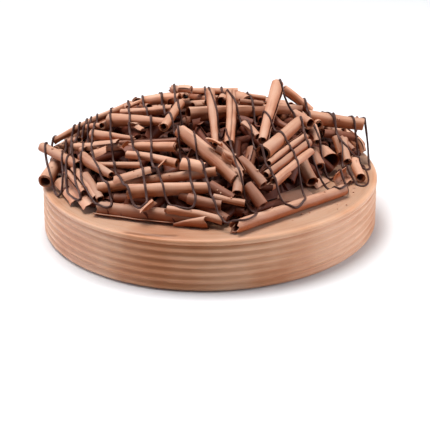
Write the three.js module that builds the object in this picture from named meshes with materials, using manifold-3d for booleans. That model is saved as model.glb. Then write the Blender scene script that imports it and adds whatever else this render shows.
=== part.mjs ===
// A round milk chocolate cake: smooth icing with a comb's rings round the side, and a heap of
// rolled chocolate curls on top with dark chocolate drizzled to and fro over them.
//
// Frame: millimetres, +Z up, the origin at the middle of the cake's underside, the front
// towards -Y. The cake stands on z = 0.

import * as THREE from "three";
import { mergeVertices } from "three/addons/utils/BufferGeometryUtils.js";
import Module from "manifold-3d";

const wasm = await Module();
wasm.setup();

// ---- Driving dimensions -------------------------------------------------------------------

const CAKE_RADIUS = 125;
const CAKE_HEIGHT = 38.5; // to the flat top that the curls lie on
const RING_COUNT = 6; // rounded rings that the comb leaves round the side
const RING_PITCH = 5.73;
const RING_DEPTH = 1.3; // from a ring's crest to the groove below it
const RIM_OVERHANG = 0.5; // icing pushed out past the rings at the top edge
const RIM_ROUNDING = 1.4;
const RIM_LIP = 0.9; // straight height of the overhanging edge below its rounding
const CAKE_SEGMENTS = 44;
const STEPS_PER_RING = 3;

const HEAP_HALF_WIDTH = 122; // the heap's footprint along X
const HEAP_HALF_DEPTH = 106; // and along Y
const HEAP_CENTRE_Y = 4;
const HEAP_RISE = 46; // how far the curls' axes climb from the edge to the middle
const HEAP_FULLNESS = 0.75; // under 1 makes the shoulders of the heap rounder
const LOWEST_AXIS = 5; // height of a curl's axis over the icing at the heap's edge
const HOLLOW_LEFT = [44, 58]; // at the front right the heap sinks to the icing over this X
const HOLLOW_LINE = [-30, 1.1]; // and in front of a line: its Y at the second X, and its slope
const HOLLOW_SLOPE = 16; // width of the slope behind the hollow
const CORE_DEPTH = 8; // the packed inside lies this far under the curls' axes
const CORE_SHARES = [0.96, 0.84, 0.56]; // its contour lines, as shares of the heap's footprint
const CORE_SIDES = 12;
const ICING_GAP = 0.3; // between the icing and the flat underside of the heap

const SEAM_STEP = 0.14; // share of its radius that the outer edge of a rolled sheet stands proud
const MOUTH_SHARE = 0.62; // radius of the opening at a curl's end, as a share of its radius
const MOUTH_DEPTH = 2.2; // depth of that opening, in radii
const THICK_CURL = 4.3; // from this radius a curl has six sides, below it five
const SEAM_CURL = 5; // from this radius the seam shows as a step
const SEAM_WIDTH = 0.88; // how far round the last side reaches, so that the step isn't upright

const DRIZZLE_RADIUS = 0.85;
const DRIZZLE_STEP = 5; // distance between the drizzle's points along its run
const DRIZZLE_TOLERANCE = 2.3; // how far its straight stretches may cut a bend short
const DRIZZLE_SIDES = 3;
const DRIZZLE_LIFT = 0.6; // of its centre line over the crest that it crosses
const DRIZZLE_SAG = 0.4; // dip at each point below its two neighbours where nothing holds it
const SETTLING_ROUNDS = 80;

// ---- Small helpers ------------------------------------------------------------------------

// Repeatable random numbers between 0 and 1.
function randomFrom(seed) {
  let state = seed >>> 0;
  return () => {
    state = (Math.imul(state, 1664525) + 1013904223) >>> 0;
    return state / 4294967296;
  };
}

// A closed geometry as a solid that can be joined and cut.
function solidOf(geometry) {
  const bare = geometry.clone();
  bare.deleteAttribute("normal");
  bare.deleteAttribute("uv");
  const merged = mergeVertices(bare, 1e-4);
  return new wasm.Manifold(
    new wasm.Mesh({
      numProp: 3,
      vertProperties: new Float32Array(merged.attributes.position.array),
      triVerts: new Uint32Array(merged.index.array),
    }),
  );
}

function geometryOf(solid) {
  const mesh = solid.getMesh();
  const geometry = new THREE.BufferGeometry();
  geometry.setAttribute("position", new THREE.BufferAttribute(mesh.vertProperties, 3));
  geometry.setIndex(new THREE.BufferAttribute(mesh.triVerts, 1));
  geometry.computeVertexNormals();
  return geometry;
}

// Joins closed rings of points, all with the same count, into one closed surface. A ring of one
// point closes an end.
function skin(rings) {
  const points = rings.flat();
  const faces = [];
  let start = 0;
  for (let i = 0; i + 1 < rings.length; i++) {
    const lower = rings[i].length;
    const upper = rings[i + 1].length;
    const sides = Math.max(lower, upper);
    const next = start + lower;
    for (let k = 0; k < sides; k++) {
      const a = start + (k % lower);
      const b = start + ((k + 1) % lower);
      const c = next + ((k + 1) % upper);
      const d = next + (k % upper);
      if (lower > 1) faces.push(a, b, c);
      if (upper > 1) faces.push(a, c, d);
    }
    start = next;
  }
  const geometry = new THREE.BufferGeometry().setFromPoints(points);
  geometry.setIndex(faces);
  return geometry;
}

// ---- The iced cake ------------------------------------------------------------------------

// Half section: a row of rounded rings, the slightly overhanging rim and the flat top.
function cakeProfile() {
  const grooveRadius = CAKE_RADIUS - RING_DEPTH;
  const points = [new THREE.Vector2(0, 0), new THREE.Vector2(grooveRadius, 0)];
  for (let ring = 0; ring < RING_COUNT; ring++) {
    for (let step = 1; step <= STEPS_PER_RING; step++) {
      const along = step / STEPS_PER_RING;
      const crest = RING_DEPTH / Math.sin(Math.PI / STEPS_PER_RING);
      const radius = grooveRadius + crest * Math.sin(Math.PI * along);
      points.push(new THREE.Vector2(radius, (ring + along) * RING_PITCH));
    }
  }
  const rimRadius = CAKE_RADIUS + RIM_OVERHANG;
  const rimCentre = CAKE_HEIGHT - RIM_ROUNDING;
  points.push(new THREE.Vector2(rimRadius, rimCentre - RIM_LIP));
  for (let step = 0; step <= 3; step++) {
    const angle = (step / 3) * (Math.PI / 2);
    const x = rimRadius - RIM_ROUNDING + RIM_ROUNDING * Math.cos(angle);
    points.push(new THREE.Vector2(x, rimCentre + RIM_ROUNDING * Math.sin(angle)));
  }
  points.push(new THREE.Vector2(0, CAKE_HEIGHT));
  return points;
}

function makeCake() {
  const geometry = new THREE.LatheGeometry(cakeProfile(), CAKE_SEGMENTS);
  geometry.rotateX(Math.PI / 2);
  return geometryOf(solidOf(geometry));
}

// ---- The heap's surface -------------------------------------------------------------------

// How far inside the heap's oval footprint a place is: 1 in the middle, 0 at the edge.
function insideness(x, y) {
  const across = x / HEAP_HALF_WIDTH;
  const along = (y - HEAP_CENTRE_Y) / HEAP_HALF_DEPTH;
  return Math.max(0, 1 - across * across - along * along);
}

// 1 in the hollow at the front right, 0 outside it.
function hollowness(x, y) {
  const line = HOLLOW_LINE[0] + HOLLOW_LINE[1] * (x - HOLLOW_LEFT[1]);
  const across = THREE.MathUtils.smoothstep(x, ...HOLLOW_LEFT);
  return across * THREE.MathUtils.smoothstep(line - y, 0, HOLLOW_SLOPE);
}

// Height at which the axis of a curl in the top layer lies.
function axisHeight(x, y) {
  const climbed = HEAP_RISE * Math.pow(insideness(x, y), HEAP_FULLNESS);
  return CAKE_HEIGHT + LOWEST_AXIS + climbed * (1 - hollowness(x, y));
}

// ---- The curls ----------------------------------------------------------------------------

// Each curl: where its two ends lie in plan, its radius at each end, and how far each end's axis
// is lifted over the heap's surface. The mouth that shows is at the second end.
const curl = (from, to, radii, lift) => ({ from, to, radii, lift });

// A curl placed by the heights of its axis' ends over the icing.
function overIcing(from, to, radii, heights) {
  const lift = [from, to].map((place, i) => CAKE_HEIGHT + heights[i] - axisHeight(...place));
  return curl(from, to, radii, lift);
}

// Over the left edge and up the left shoulder.
const LEFT_CURLS = [
  curl([-118, 20], [-63, 26], [2.7, 2.9], [9, 3]),
  curl([-124, 0], [-93, -41], [3.8, 3.8], [16, 1]),
  curl([-119, -34], [-110, 0], [5.8, 5.4], [2.5, -3]),
  curl([-104, 6], [-95, -4], [3.2, 3], [0, 0]),
  curl([-92, 16], [-79, 4], [3, 3.2], [1, 0]),
  curl([-73, 4], [-30, -24], [5.8, 3.4], [2, 1]),
  curl([-65, 16], [-26, -2], [3.7, 3.8], [1, 1]),
  curl([-49, 30], [-21, 17], [4.2, 4.4], [2, 2]),
  curl([-61, 24], [-49, 38], [2, 2.2], [2, 1]),
  curl([-85, -8], [-53, -35], [4.6, 1.7], [1, 1]),
  curl([-64, -32], [-22, -44], [2.2, 2.4], [-1, -1]),
  curl([-100, -12], [-22, -51], [3.4, 4], [1, -1.5]),
  curl([-96, -7], [-89, -22], [3.6, 4], [-3, -3]),
];

// Long curls lying across the front, the lowest of them on the icing.
const FRONT_CURLS = [
  curl([-91, -33], [-68, -64], [4.6, 3], [1, 1]),
  curl([-80, -47], [-47, -62], [2.6, 2.8], [-1, -1]),
  curl([-58, -51], [-22, -69], [3.4, 3.8], [1, 1]),
  curl([-78, -65], [5, -76], [4.2, 3.5], [-2.5, 1]),
  curl([-57, -79], [0, -85], [5.4, 4.2], [0.5, -1.5]),
  curl([-103, -36], [-88, -64], [3.2, 3.4], [-1, -1]),
  curl([-97, -37], [-79, -73], [3.2, 3.3], [-1, -1]),
  curl([-88, -49], [-76, -74], [3.2, 3.4], [-2, -2]),
  curl([-78, -76], [0, -103], [4.9, 5.0], [-3.5, -1.0]),
  curl([-31, -96], [9, -105], [3, 3.2], [2, 1]),
  curl([-15, -91], [8, -96], [4.2, 3.8], [-1, 0]),
  curl([0, -83], [16, -91], [4.6, 4.4], [-2, -2]),
  curl([2, -93], [24, -95], [2.4, 2.4], [1, 1]),
];

// The slanting curls of the middle, the two upright sticks and the one that stands out on top.
const MIDDLE_CURLS = [
  curl([-20, -38], [19, -80], [5.4, 5.6], [2, -0.5]),
  curl([8, -56], [23, -78], [2.8, 2.9], [4, 3]),
  curl([5, -60], [18, -67], [3, 3], [2, 2]),
  curl([21, -65], [37, -82], [3.8, 3.8], [0, 0]),
  curl([20, -74], [19, -90], [3.8, 4.1], [1, 1]),
  curl([26, -83], [36, -94], [4.2, 4.6], [0, 1]),
  curl([2, 18], [5, -56], [4.1, 2.8], [6, 3]),
  curl([17, 24], [14, -56], [4.2, 4.0], [4, 3]),
  curl([-15, -6], [70, 28], [6.4, 4.2], [-3, 1]),
  curl([-20, 3], [-32, -33], [3.8, 3.9], [3, 3]),
  curl([52, 14], [38, -45], [5.3, 3.7], [18.5, 0.5]),
  curl([25, -26], [35, -41], [3, 3], [0, 0]),
  curl([48, -12], [58, -23], [2.8, 2.8], [1, 1]),
  curl([31, -44], [27, -62], [4.2, 4.4], [-8, -8]),
];

// The sheaf right of the middle, the wide mouths beside it and the sticks over the right edge;
// last, the long thin curl that lies on the icing in front of them.
const RIGHT_CURLS = [
  curl([38, -60], [66, -12], [5.8, 4.4], [3, 3]),
  overIcing([41, -66], [70, -26], [3, 3.2], [31.5, 36.5]),
  overIcing([39, -75], [72, -34], [3.4, 3.4], [26.5, 34.5]),
  overIcing([44, -78], [73, -42], [3, 3.2], [22.5, 30.5]),
  overIcing([40, -66], [57, -49], [3.3, 3.1], [11.5, 18.5]),
  overIcing([62, -34], [57, -44], [4.0, 4.2], [15.5, 8.5]),
  overIcing([68, -18], [74, -39], [4.7, 5], [14, 5.4]),
  overIcing([78, -4], [81, -22], [3.6, 3.7], [17, 10.5]),
  overIcing([82, 14], [90, -9], [3.4, 8], [16, 9.5]),
  curl([64, 12], [75, -3], [4.4, 4.6], [-1, 0]),
  overIcing([78, 8], [80, -7], [3.7, 3.7], [31.5, 23.5]),
  overIcing([94, 8], [98, -2], [3.0, 3.1], [22.5, 12.5]),
  overIcing([101, 6], [102, -13], [3.6, 3.7], [21.5, 10.5]),
  overIcing([99, 10], [108, -2], [2.7, 2.7], [21.5, 15.5]),
  overIcing([111, 15], [116, 9], [2.9, 3.0], [18.5, 9.5]),
  overIcing([94, -38], [104, -24], [5.5, 5.0], [5.5, 7.5]),
  overIcing([108, -2], [110, -30], [4, 4.2], [8.5, 4.4]),
  curl([57, 30], [78, 28], [3.6, 3.8], [13, 2]),
  overIcing([75, 20], [117, 22], [6.0, 5.2], [34.5, 27]),
  overIcing([86, 12], [110, 16], [3.6, 3.6], [24, 19]),
  overIcing([13, -117], [96, -52], [5.0, 4.5], [5.2, 4.7]),
];

// Along the skyline behind the middle.
const BACK_CURLS = [
  curl([-22, 30], [-12, 26], [3.4, 3.4], [7, 6]),
  curl([-16, 36], [-17, 18], [2.6, 2.8], [2, 3]),
  curl([-14, 40], [23, 42], [3, 3], [3, 3]),
  curl([23, 36], [44, 36], [2.5, 2.5], [2, 1]),
  curl([23, 14], [41, 16], [2.7, 2.7], [0, 0]),
  curl([12, 34], [10, 16], [4.6, 4.8], [-2, -2]),
];

const SHOWN_CURLS = [
  ...LEFT_CURLS,
  ...FRONT_CURLS,
  ...MIDDLE_CURLS,
  ...RIGHT_CURLS,
  ...BACK_CURLS,
];

// The two ends of a curl about its middle, in plan.
function endsAbout(x, y, bearing, half) {
  const dx = half * Math.cos(bearing);
  const dy = half * Math.sin(bearing);
  return [[x - dx, y - dy], [x + dx, y + dy]];
}

// Whether both ends lie over the heap's footprint.
function onHeap(ends) {
  return ends.every(([x, y]) => insideness(x, y) > 0.02);
}

// Curls at even spacing over a stretch of the heap from front to back, lying any way round.
function scatteredCurls({ seed, front, back, spacing, depth, halfLength, radius }) {
  const random = randomFrom(seed);
  const between = ([low, high]) => low + (high - low) * random();
  const rowPitch = spacing * 0.75;
  const curls = [];
  for (let row = 0; front + row * rowPitch <= back; row++) {
    const y = front + row * rowPitch;
    for (let column = -5; column <= 5; column++) {
      const x = (column + (row % 2) / 2) * spacing + between([-3, 3]);
      const bearing = between([0, Math.PI]);
      const longest = between(halfLength);
      const thick = between(radius);
      const lift = between(depth);
      const ends = [1, 0.8, 0.6].map((share) => endsAbout(x, y, bearing, share * longest)).find(onHeap);
      if (!ends) continue;
      curls.push(curl(...ends, [thick, thick * between([0.85, 1.1])], [lift, lift]));
    }
  }
  return curls;
}

// The far side of the heap, and the layer under the curls that show.
const FAR_CURLS = scatteredCurls({
  seed: 21,
  front: 38,
  back: 100,
  spacing: 27,
  depth: [-3, 1],
  halfLength: [16, 30],
  radius: [3.2, 5.8],
});
const UNDER_CURLS = [
  curl([-66, -80], [-38, -90], [4, 4.2], [-5, -4]),
  curl([-20, -84], [12, -100], [4, 4], [-6, -4]),
  ...scatteredCurls({
    seed: 3,
    front: -84,
    back: 30,
    spacing: 39,
    depth: [-6.5, -4.5],
    halfLength: [15, 24],
    radius: [3.4, 4.6],
  }),
];

// The two ends of a curl's axis in space.
function axisOf({ from, to, lift }) {
  return [
    new THREE.Vector3(from[0], from[1], axisHeight(...from) + lift[0]),
    new THREE.Vector3(to[0], to[1], axisHeight(...to) + lift[1]),
  ];
}

// A tapered roll: the section of a thick one is a turn of a spiral with a step at the seam, and an
// open one has a mouth that narrows inwards.
function curlSolid(placed, open, turn) {
  const [start, end] = axisOf(placed);
  const along = end.clone().sub(start).normalize();
  const side = new THREE.Vector3().crossVectors(along, new THREE.Vector3(0, 0, 1)).normalize();
  const up = new THREE.Vector3().crossVectors(side, along);
  const sides = Math.max(...placed.radii) > THICK_CURL ? 6 : 5;
  const seam = Math.max(...placed.radii) > SEAM_CURL ? 1 : 0;
  const ring = (centre, radius, share) => {
    const points = [];
    for (let k = 0; k < sides + seam; k++) {
      const step = k < sides ? k : k - 1 + SEAM_WIDTH;
      const angle = turn - (step / sides) * 2 * Math.PI;
      const reach = radius * share * (1 - (seam * SEAM_STEP * k) / sides);
      const point = centre.clone().addScaledVector(side, reach * Math.cos(angle));
      points.push(point.addScaledVector(up, reach * Math.sin(angle)));
    }
    return points;
  };
  const [startRadius, endRadius] = placed.radii;
  const rings = [[start], ring(start, startRadius, 1), ring(end, endRadius, 1)];
  if (open) rings.push(ring(end, endRadius, MOUTH_SHARE));
  rings.push([end.clone().addScaledVector(along, open ? -endRadius * MOUTH_DEPTH : 0)]);
  return solidOf(skin(rings));
}

// ---- The drizzle --------------------------------------------------------------------------

// The zigzag as seen from above, from left to right: for each turn at the front, the strand that
// comes forward over the heap, the turn itself and the strand that goes back.
const DRIZZLE_LOOPS = [
  [[-100, 34], [-116, 22], [-121, 0], [-118, -18], [-115, -32], [-111, -41], [-107, -47],
   [-105, -40], [-107, -25], [-106, 5], [-99, 34]],
  [[-94, 36], [-101, 6], [-101, -10], [-97, -40], [-95, -54], [-91, -67], [-97, -60],
   [-102, -47], [-101, -20], [-90, 34]],
  [[-87, 36], [-92, -21], [-91, -43], [-88, -61], [-81, -75], [-74, -82], [-68, -82], [-70, -70],
   [-78, -56], [-84, -27], [-84, 32]],
  [[-74, 34], [-70, -26], [-65, -61], [-57, -80], [-50, -90], [-43, -93], [-44, -80], [-47, -65],
   [-55, -34], [-60, 30]],
  [[-50, 34], [-42, -16], [-40, -61], [-36, -76], [-30, -97], [-15, -105], [-10, -102],
   [-16, -82], [-25, -29], [-32, -4], [-36, 34]],
  [[-26, 36], [-21, -6], [-12, -32], [-8, -62], [-3, -80], [3, -97], [9, -108], [19, -114],
   [30, -107], [31, -97], [25, -90], [17, -67], [11, -33], [6, -14], [-2, 38]],
  [[11, 38], [23, -5], [31, -41], [38, -61], [43, -74], [50, -85], [59, -86], [66, -77],
   [64, -66], [56, -46], [42, -22], [33, 11], [30, 38]],
  [[50, 38], [55, 8], [64, 6], [68, -19], [71, -38], [77, -43], [85, -50], [92, -58], [99, -45],
   [96, -32], [84, -14], [72, 34]],
  [[82, 34], [94, 16], [99, -2], [99, -20], [105, -31], [111, -35], [117, -24], [116, 4],
   [109, -5], [98, 2], [94, 30]],
  [[104, 34], [111, 14], [115, 0], [118, -4], [121, 4], [119, 20], [110, 34]],
];

// Top of what lies under a place in plan.
function topAt(x, y, curls) {
  let top = Math.max(CAKE_HEIGHT, axisHeight(x, y) - CORE_DEPTH);
  for (const placed of curls) {
    const [start, end] = axisOf(placed);
    const dx = end.x - start.x;
    const dy = end.y - start.y;
    const share = ((x - start.x) * dx + (y - start.y) * dy) / (dx * dx + dy * dy);
    const within = THREE.MathUtils.clamp(share, 0, 1);
    const nearest = start.clone().lerp(end, within);
    const radius = THREE.MathUtils.lerp(...placed.radii, within);
    const gap = Math.hypot(nearest.x - x, nearest.y - y);
    if (gap < radius) top = Math.max(top, nearest.z + Math.sqrt(radius * radius - gap * gap));
  }
  return top;
}

// The drizzle hangs from crest to crest of the curls and dips a little between them. Points on
// its straight stretches are left out.
function drizzlePath(loop, curls) {
  const plan = new THREE.SplineCurve(loop.map(([x, y]) => new THREE.Vector2(x, y)));
  const count = Math.round(plan.getLength() / DRIZZLE_STEP);
  const places = plan.getSpacedPoints(count);
  const floor = places.map((p) => topAt(p.x, p.y, curls) + DRIZZLE_LIFT);
  const height = floor.slice();
  for (let round = 0; round < SETTLING_ROUNDS; round++) {
    for (let i = 1; i < count; i++) {
      height[i] = Math.max(floor[i], (height[i - 1] + height[i + 1]) / 2 - DRIZZLE_SAG);
    }
  }
  const full = places.map((p, i) => new THREE.Vector3(p.x, p.y, height[i]));
  return withoutStraightPoints(full, DRIZZLE_TOLERANCE);
}

// Keeps a point only where the chain would move by more than the tolerance without it.
function withoutStraightPoints(chain, tolerance) {
  if (chain.length < 3) return chain;
  const chord = new THREE.Line3(chain[0], chain.at(-1));
  const nearest = new THREE.Vector3();
  let farthest = 0;
  let split = 0;
  chain.forEach((point, i) => {
    const distance = chord.closestPointToPoint(point, true, nearest).distanceTo(point);
    if (distance > farthest) {
      farthest = distance;
      split = i;
    }
  });
  if (farthest <= tolerance) return [chain[0], chain.at(-1)];
  const before = withoutStraightPoints(chain.slice(0, split + 1), tolerance);
  return before.concat(withoutStraightPoints(chain.slice(split), tolerance).slice(1));
}

function drizzleSolid(loop, curls) {
  const points = drizzlePath(loop, curls);
  const rings = [];
  points.forEach((point, i) => {
    const before = points[Math.max(0, i - 1)];
    const after = points[Math.min(points.length - 1, i + 1)];
    const along = after.clone().sub(before).normalize();
    const side = new THREE.Vector3().crossVectors(along, new THREE.Vector3(0, 0, 1)).normalize();
    const up = new THREE.Vector3().crossVectors(side, along);
    const ring = [];
    for (let k = 0; k < DRIZZLE_SIDES; k++) {
      const angle = Math.PI / 2 - (k / DRIZZLE_SIDES) * 2 * Math.PI;
      const corner = point.clone().addScaledVector(side, DRIZZLE_RADIUS * Math.cos(angle));
      ring.push(corner.addScaledVector(up, DRIZZLE_RADIUS * Math.sin(angle)));
    }
    rings.push(ring);
  });
  return solidOf(skin([[points[0]], ...rings, [points.at(-1)]]));
}

// ---- The heap -----------------------------------------------------------------------------

// The packed inside of the heap: a low oval dome.
function coreSolid() {
  // Lower than any contour, also in the hollow. All that reaches below the gap is cut away later.
  const base = CAKE_HEIGHT - CORE_DEPTH;
  const contour = (share, level) => {
    const ring = [];
    for (let k = 0; k < CORE_SIDES; k++) {
      const angle = (k / CORE_SIDES) * 2 * Math.PI;
      const x = HEAP_HALF_WIDTH * share * Math.cos(angle);
      const y = HEAP_CENTRE_Y + HEAP_HALF_DEPTH * share * Math.sin(angle);
      ring.push(new THREE.Vector3(x, y, level ?? axisHeight(x, y) - CORE_DEPTH));
    }
    return ring;
  };
  const rings = [[new THREE.Vector3(0, HEAP_CENTRE_Y, base)], contour(CORE_SHARES[0], base)];
  rings.push(...CORE_SHARES.map((share) => contour(share)));
  rings.push([new THREE.Vector3(0, HEAP_CENTRE_Y, axisHeight(0, HEAP_CENTRE_Y) - CORE_DEPTH)]);
  return solidOf(skin(rings));
}

// Everything over the icing, as one body without loose scraps.
function makeHeap() {
  const random = randomFrom(5);
  const curls = [...SHOWN_CURLS, ...FAR_CURLS, ...UNDER_CURLS];
  let heap = coreSolid();
  for (const placed of curls) {
    const open = SHOWN_CURLS.includes(placed);
    heap = heap.add(curlSolid(placed, open, 2 * Math.PI * random()));
  }
  for (const loop of DRIZZLE_LOOPS) {
    heap = heap.add(drizzleSolid(loop, curls));
  }
  const side = 4 * CAKE_RADIUS;
  const overIcing = new THREE.BoxGeometry(side, side, side);
  overIcing.translate(0, 0, side / 2 + CAKE_HEIGHT + ICING_GAP);
  heap = heap.intersect(solidOf(overIcing));
  const bodies = heap.decompose().sort((a, b) => b.volume() - a.volume());
  return geometryOf(bodies[0]);
}

// ---- The part -----------------------------------------------------------------------------

const icing = new THREE.MeshStandardMaterial({ color: 0xcd9a7b, roughness: 0.5, metalness: 0 });
const chocolate = new THREE.MeshStandardMaterial({ color: 0xb07a5a, roughness: 0.45, metalness: 0 });

function named(name, geometry, material) {
  const mesh = new THREE.Mesh(geometry, material);
  mesh.name = name;
  return mesh;
}

const cake = new THREE.Group();
cake.add(named("iced_cake", makeCake(), icing));
cake.add(named("curl_heap", makeHeap(), chocolate));

export default cake;
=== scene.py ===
"""Looks of a milk chocolate cake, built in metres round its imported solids.

The cake is a low disc of icing with a comb's rings round its side. On it lies a heap of rolled
chocolate curls, broken sheets and crumbs, with dark chocolate drizzled to and fro over them.
Sizes are in millimetres until a mesh is made.
"""

import logging
import math
from dataclasses import dataclass, field
from enum import Enum

import bpy
import numpy as np
from mathutils import Matrix, Vector
from mathutils.bvhtree import BVHTree


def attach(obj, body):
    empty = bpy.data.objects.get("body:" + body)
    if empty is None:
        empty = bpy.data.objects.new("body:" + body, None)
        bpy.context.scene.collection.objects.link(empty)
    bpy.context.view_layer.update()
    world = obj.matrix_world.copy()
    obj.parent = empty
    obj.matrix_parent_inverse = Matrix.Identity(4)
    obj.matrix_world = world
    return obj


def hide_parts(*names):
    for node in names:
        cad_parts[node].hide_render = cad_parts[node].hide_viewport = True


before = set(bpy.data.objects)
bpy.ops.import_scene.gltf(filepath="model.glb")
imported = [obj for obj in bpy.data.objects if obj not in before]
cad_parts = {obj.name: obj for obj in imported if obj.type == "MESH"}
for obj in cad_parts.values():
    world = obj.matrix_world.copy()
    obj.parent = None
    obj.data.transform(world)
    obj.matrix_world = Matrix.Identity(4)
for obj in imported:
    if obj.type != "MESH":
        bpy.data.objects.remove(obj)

MM = 0.001
TURN = 2 * math.pi
BODY = "root"
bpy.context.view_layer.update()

# Rays that feel for the heap start at this height, over all of it, and run downwards.
SKY = 140.0
DOWN = Vector((0, 0, -1))

Pair = tuple[float, float]
Plan = Pair
Triple = tuple[float, float, float]
Colour = Triple

log = logging.getLogger("cake")


def linear(red: int, green: int, blue: int) -> Colour:
    """A colour as a shader takes it.

    Args:
        red: Red from 0 to 255, as on a screen.
        green: Green, alike.
        blue: Blue, alike.

    Returns:
        The three parts as light, from 0 to 1.
    """

    def light(part: int) -> float:
        """One part as light, by the curve that screens use."""
        share = part / 255
        return share / 12.92 if share <= 0.04045 else ((share + 0.055) / 1.055) ** 2.4

    return light(red), light(green), light(blue)


# ---- Shader maths ---------------------------------------------------------------------------


class Value:
    """A number on a shader socket that can stand in a Python expression."""

    def __init__(self, look: "Look", socket: bpy.types.NodeSocket) -> None:
        """Wraps a socket of a look."""
        self.look = look
        self.socket = socket

    def __add__(self, other: "Value | float") -> "Value":
        """self + other."""
        return self.look.math("ADD", self, other)

    def __radd__(self, other: float) -> "Value":
        """other + self."""
        return self.look.math("ADD", other, self)

    def __sub__(self, other: "Value | float") -> "Value":
        """self - other."""
        return self.look.math("SUBTRACT", self, other)

    def __rsub__(self, other: float) -> "Value":
        """other - self."""
        return self.look.math("SUBTRACT", other, self)

    def __mul__(self, other: "Value | float") -> "Value":
        """self * other."""
        return self.look.math("MULTIPLY", self, other)

    def __rmul__(self, other: float) -> "Value":
        """other * self."""
        return self.look.math("MULTIPLY", other, self)

    def kept(self) -> "Value":
        """The number held between 0 and 1."""
        return self.look.math("MINIMUM", self.look.math("MAXIMUM", self, 0.0), 1.0)

    def above(self, low: float, high: float) -> "Value":
        """A smooth step from 0 at low to 1 at high.

        Args:
            low: Where the step begins.
            high: Where it is full.

        Returns:
            The step.
        """
        settings = {"interpolation_type": "SMOOTHSTEP"}
        sockets = {"Value": self, "From Min": low, "From Max": high}
        step = self.look.node("ShaderNodeMapRange", settings, sockets)
        return Value(self.look, step.outputs["Result"])


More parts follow.
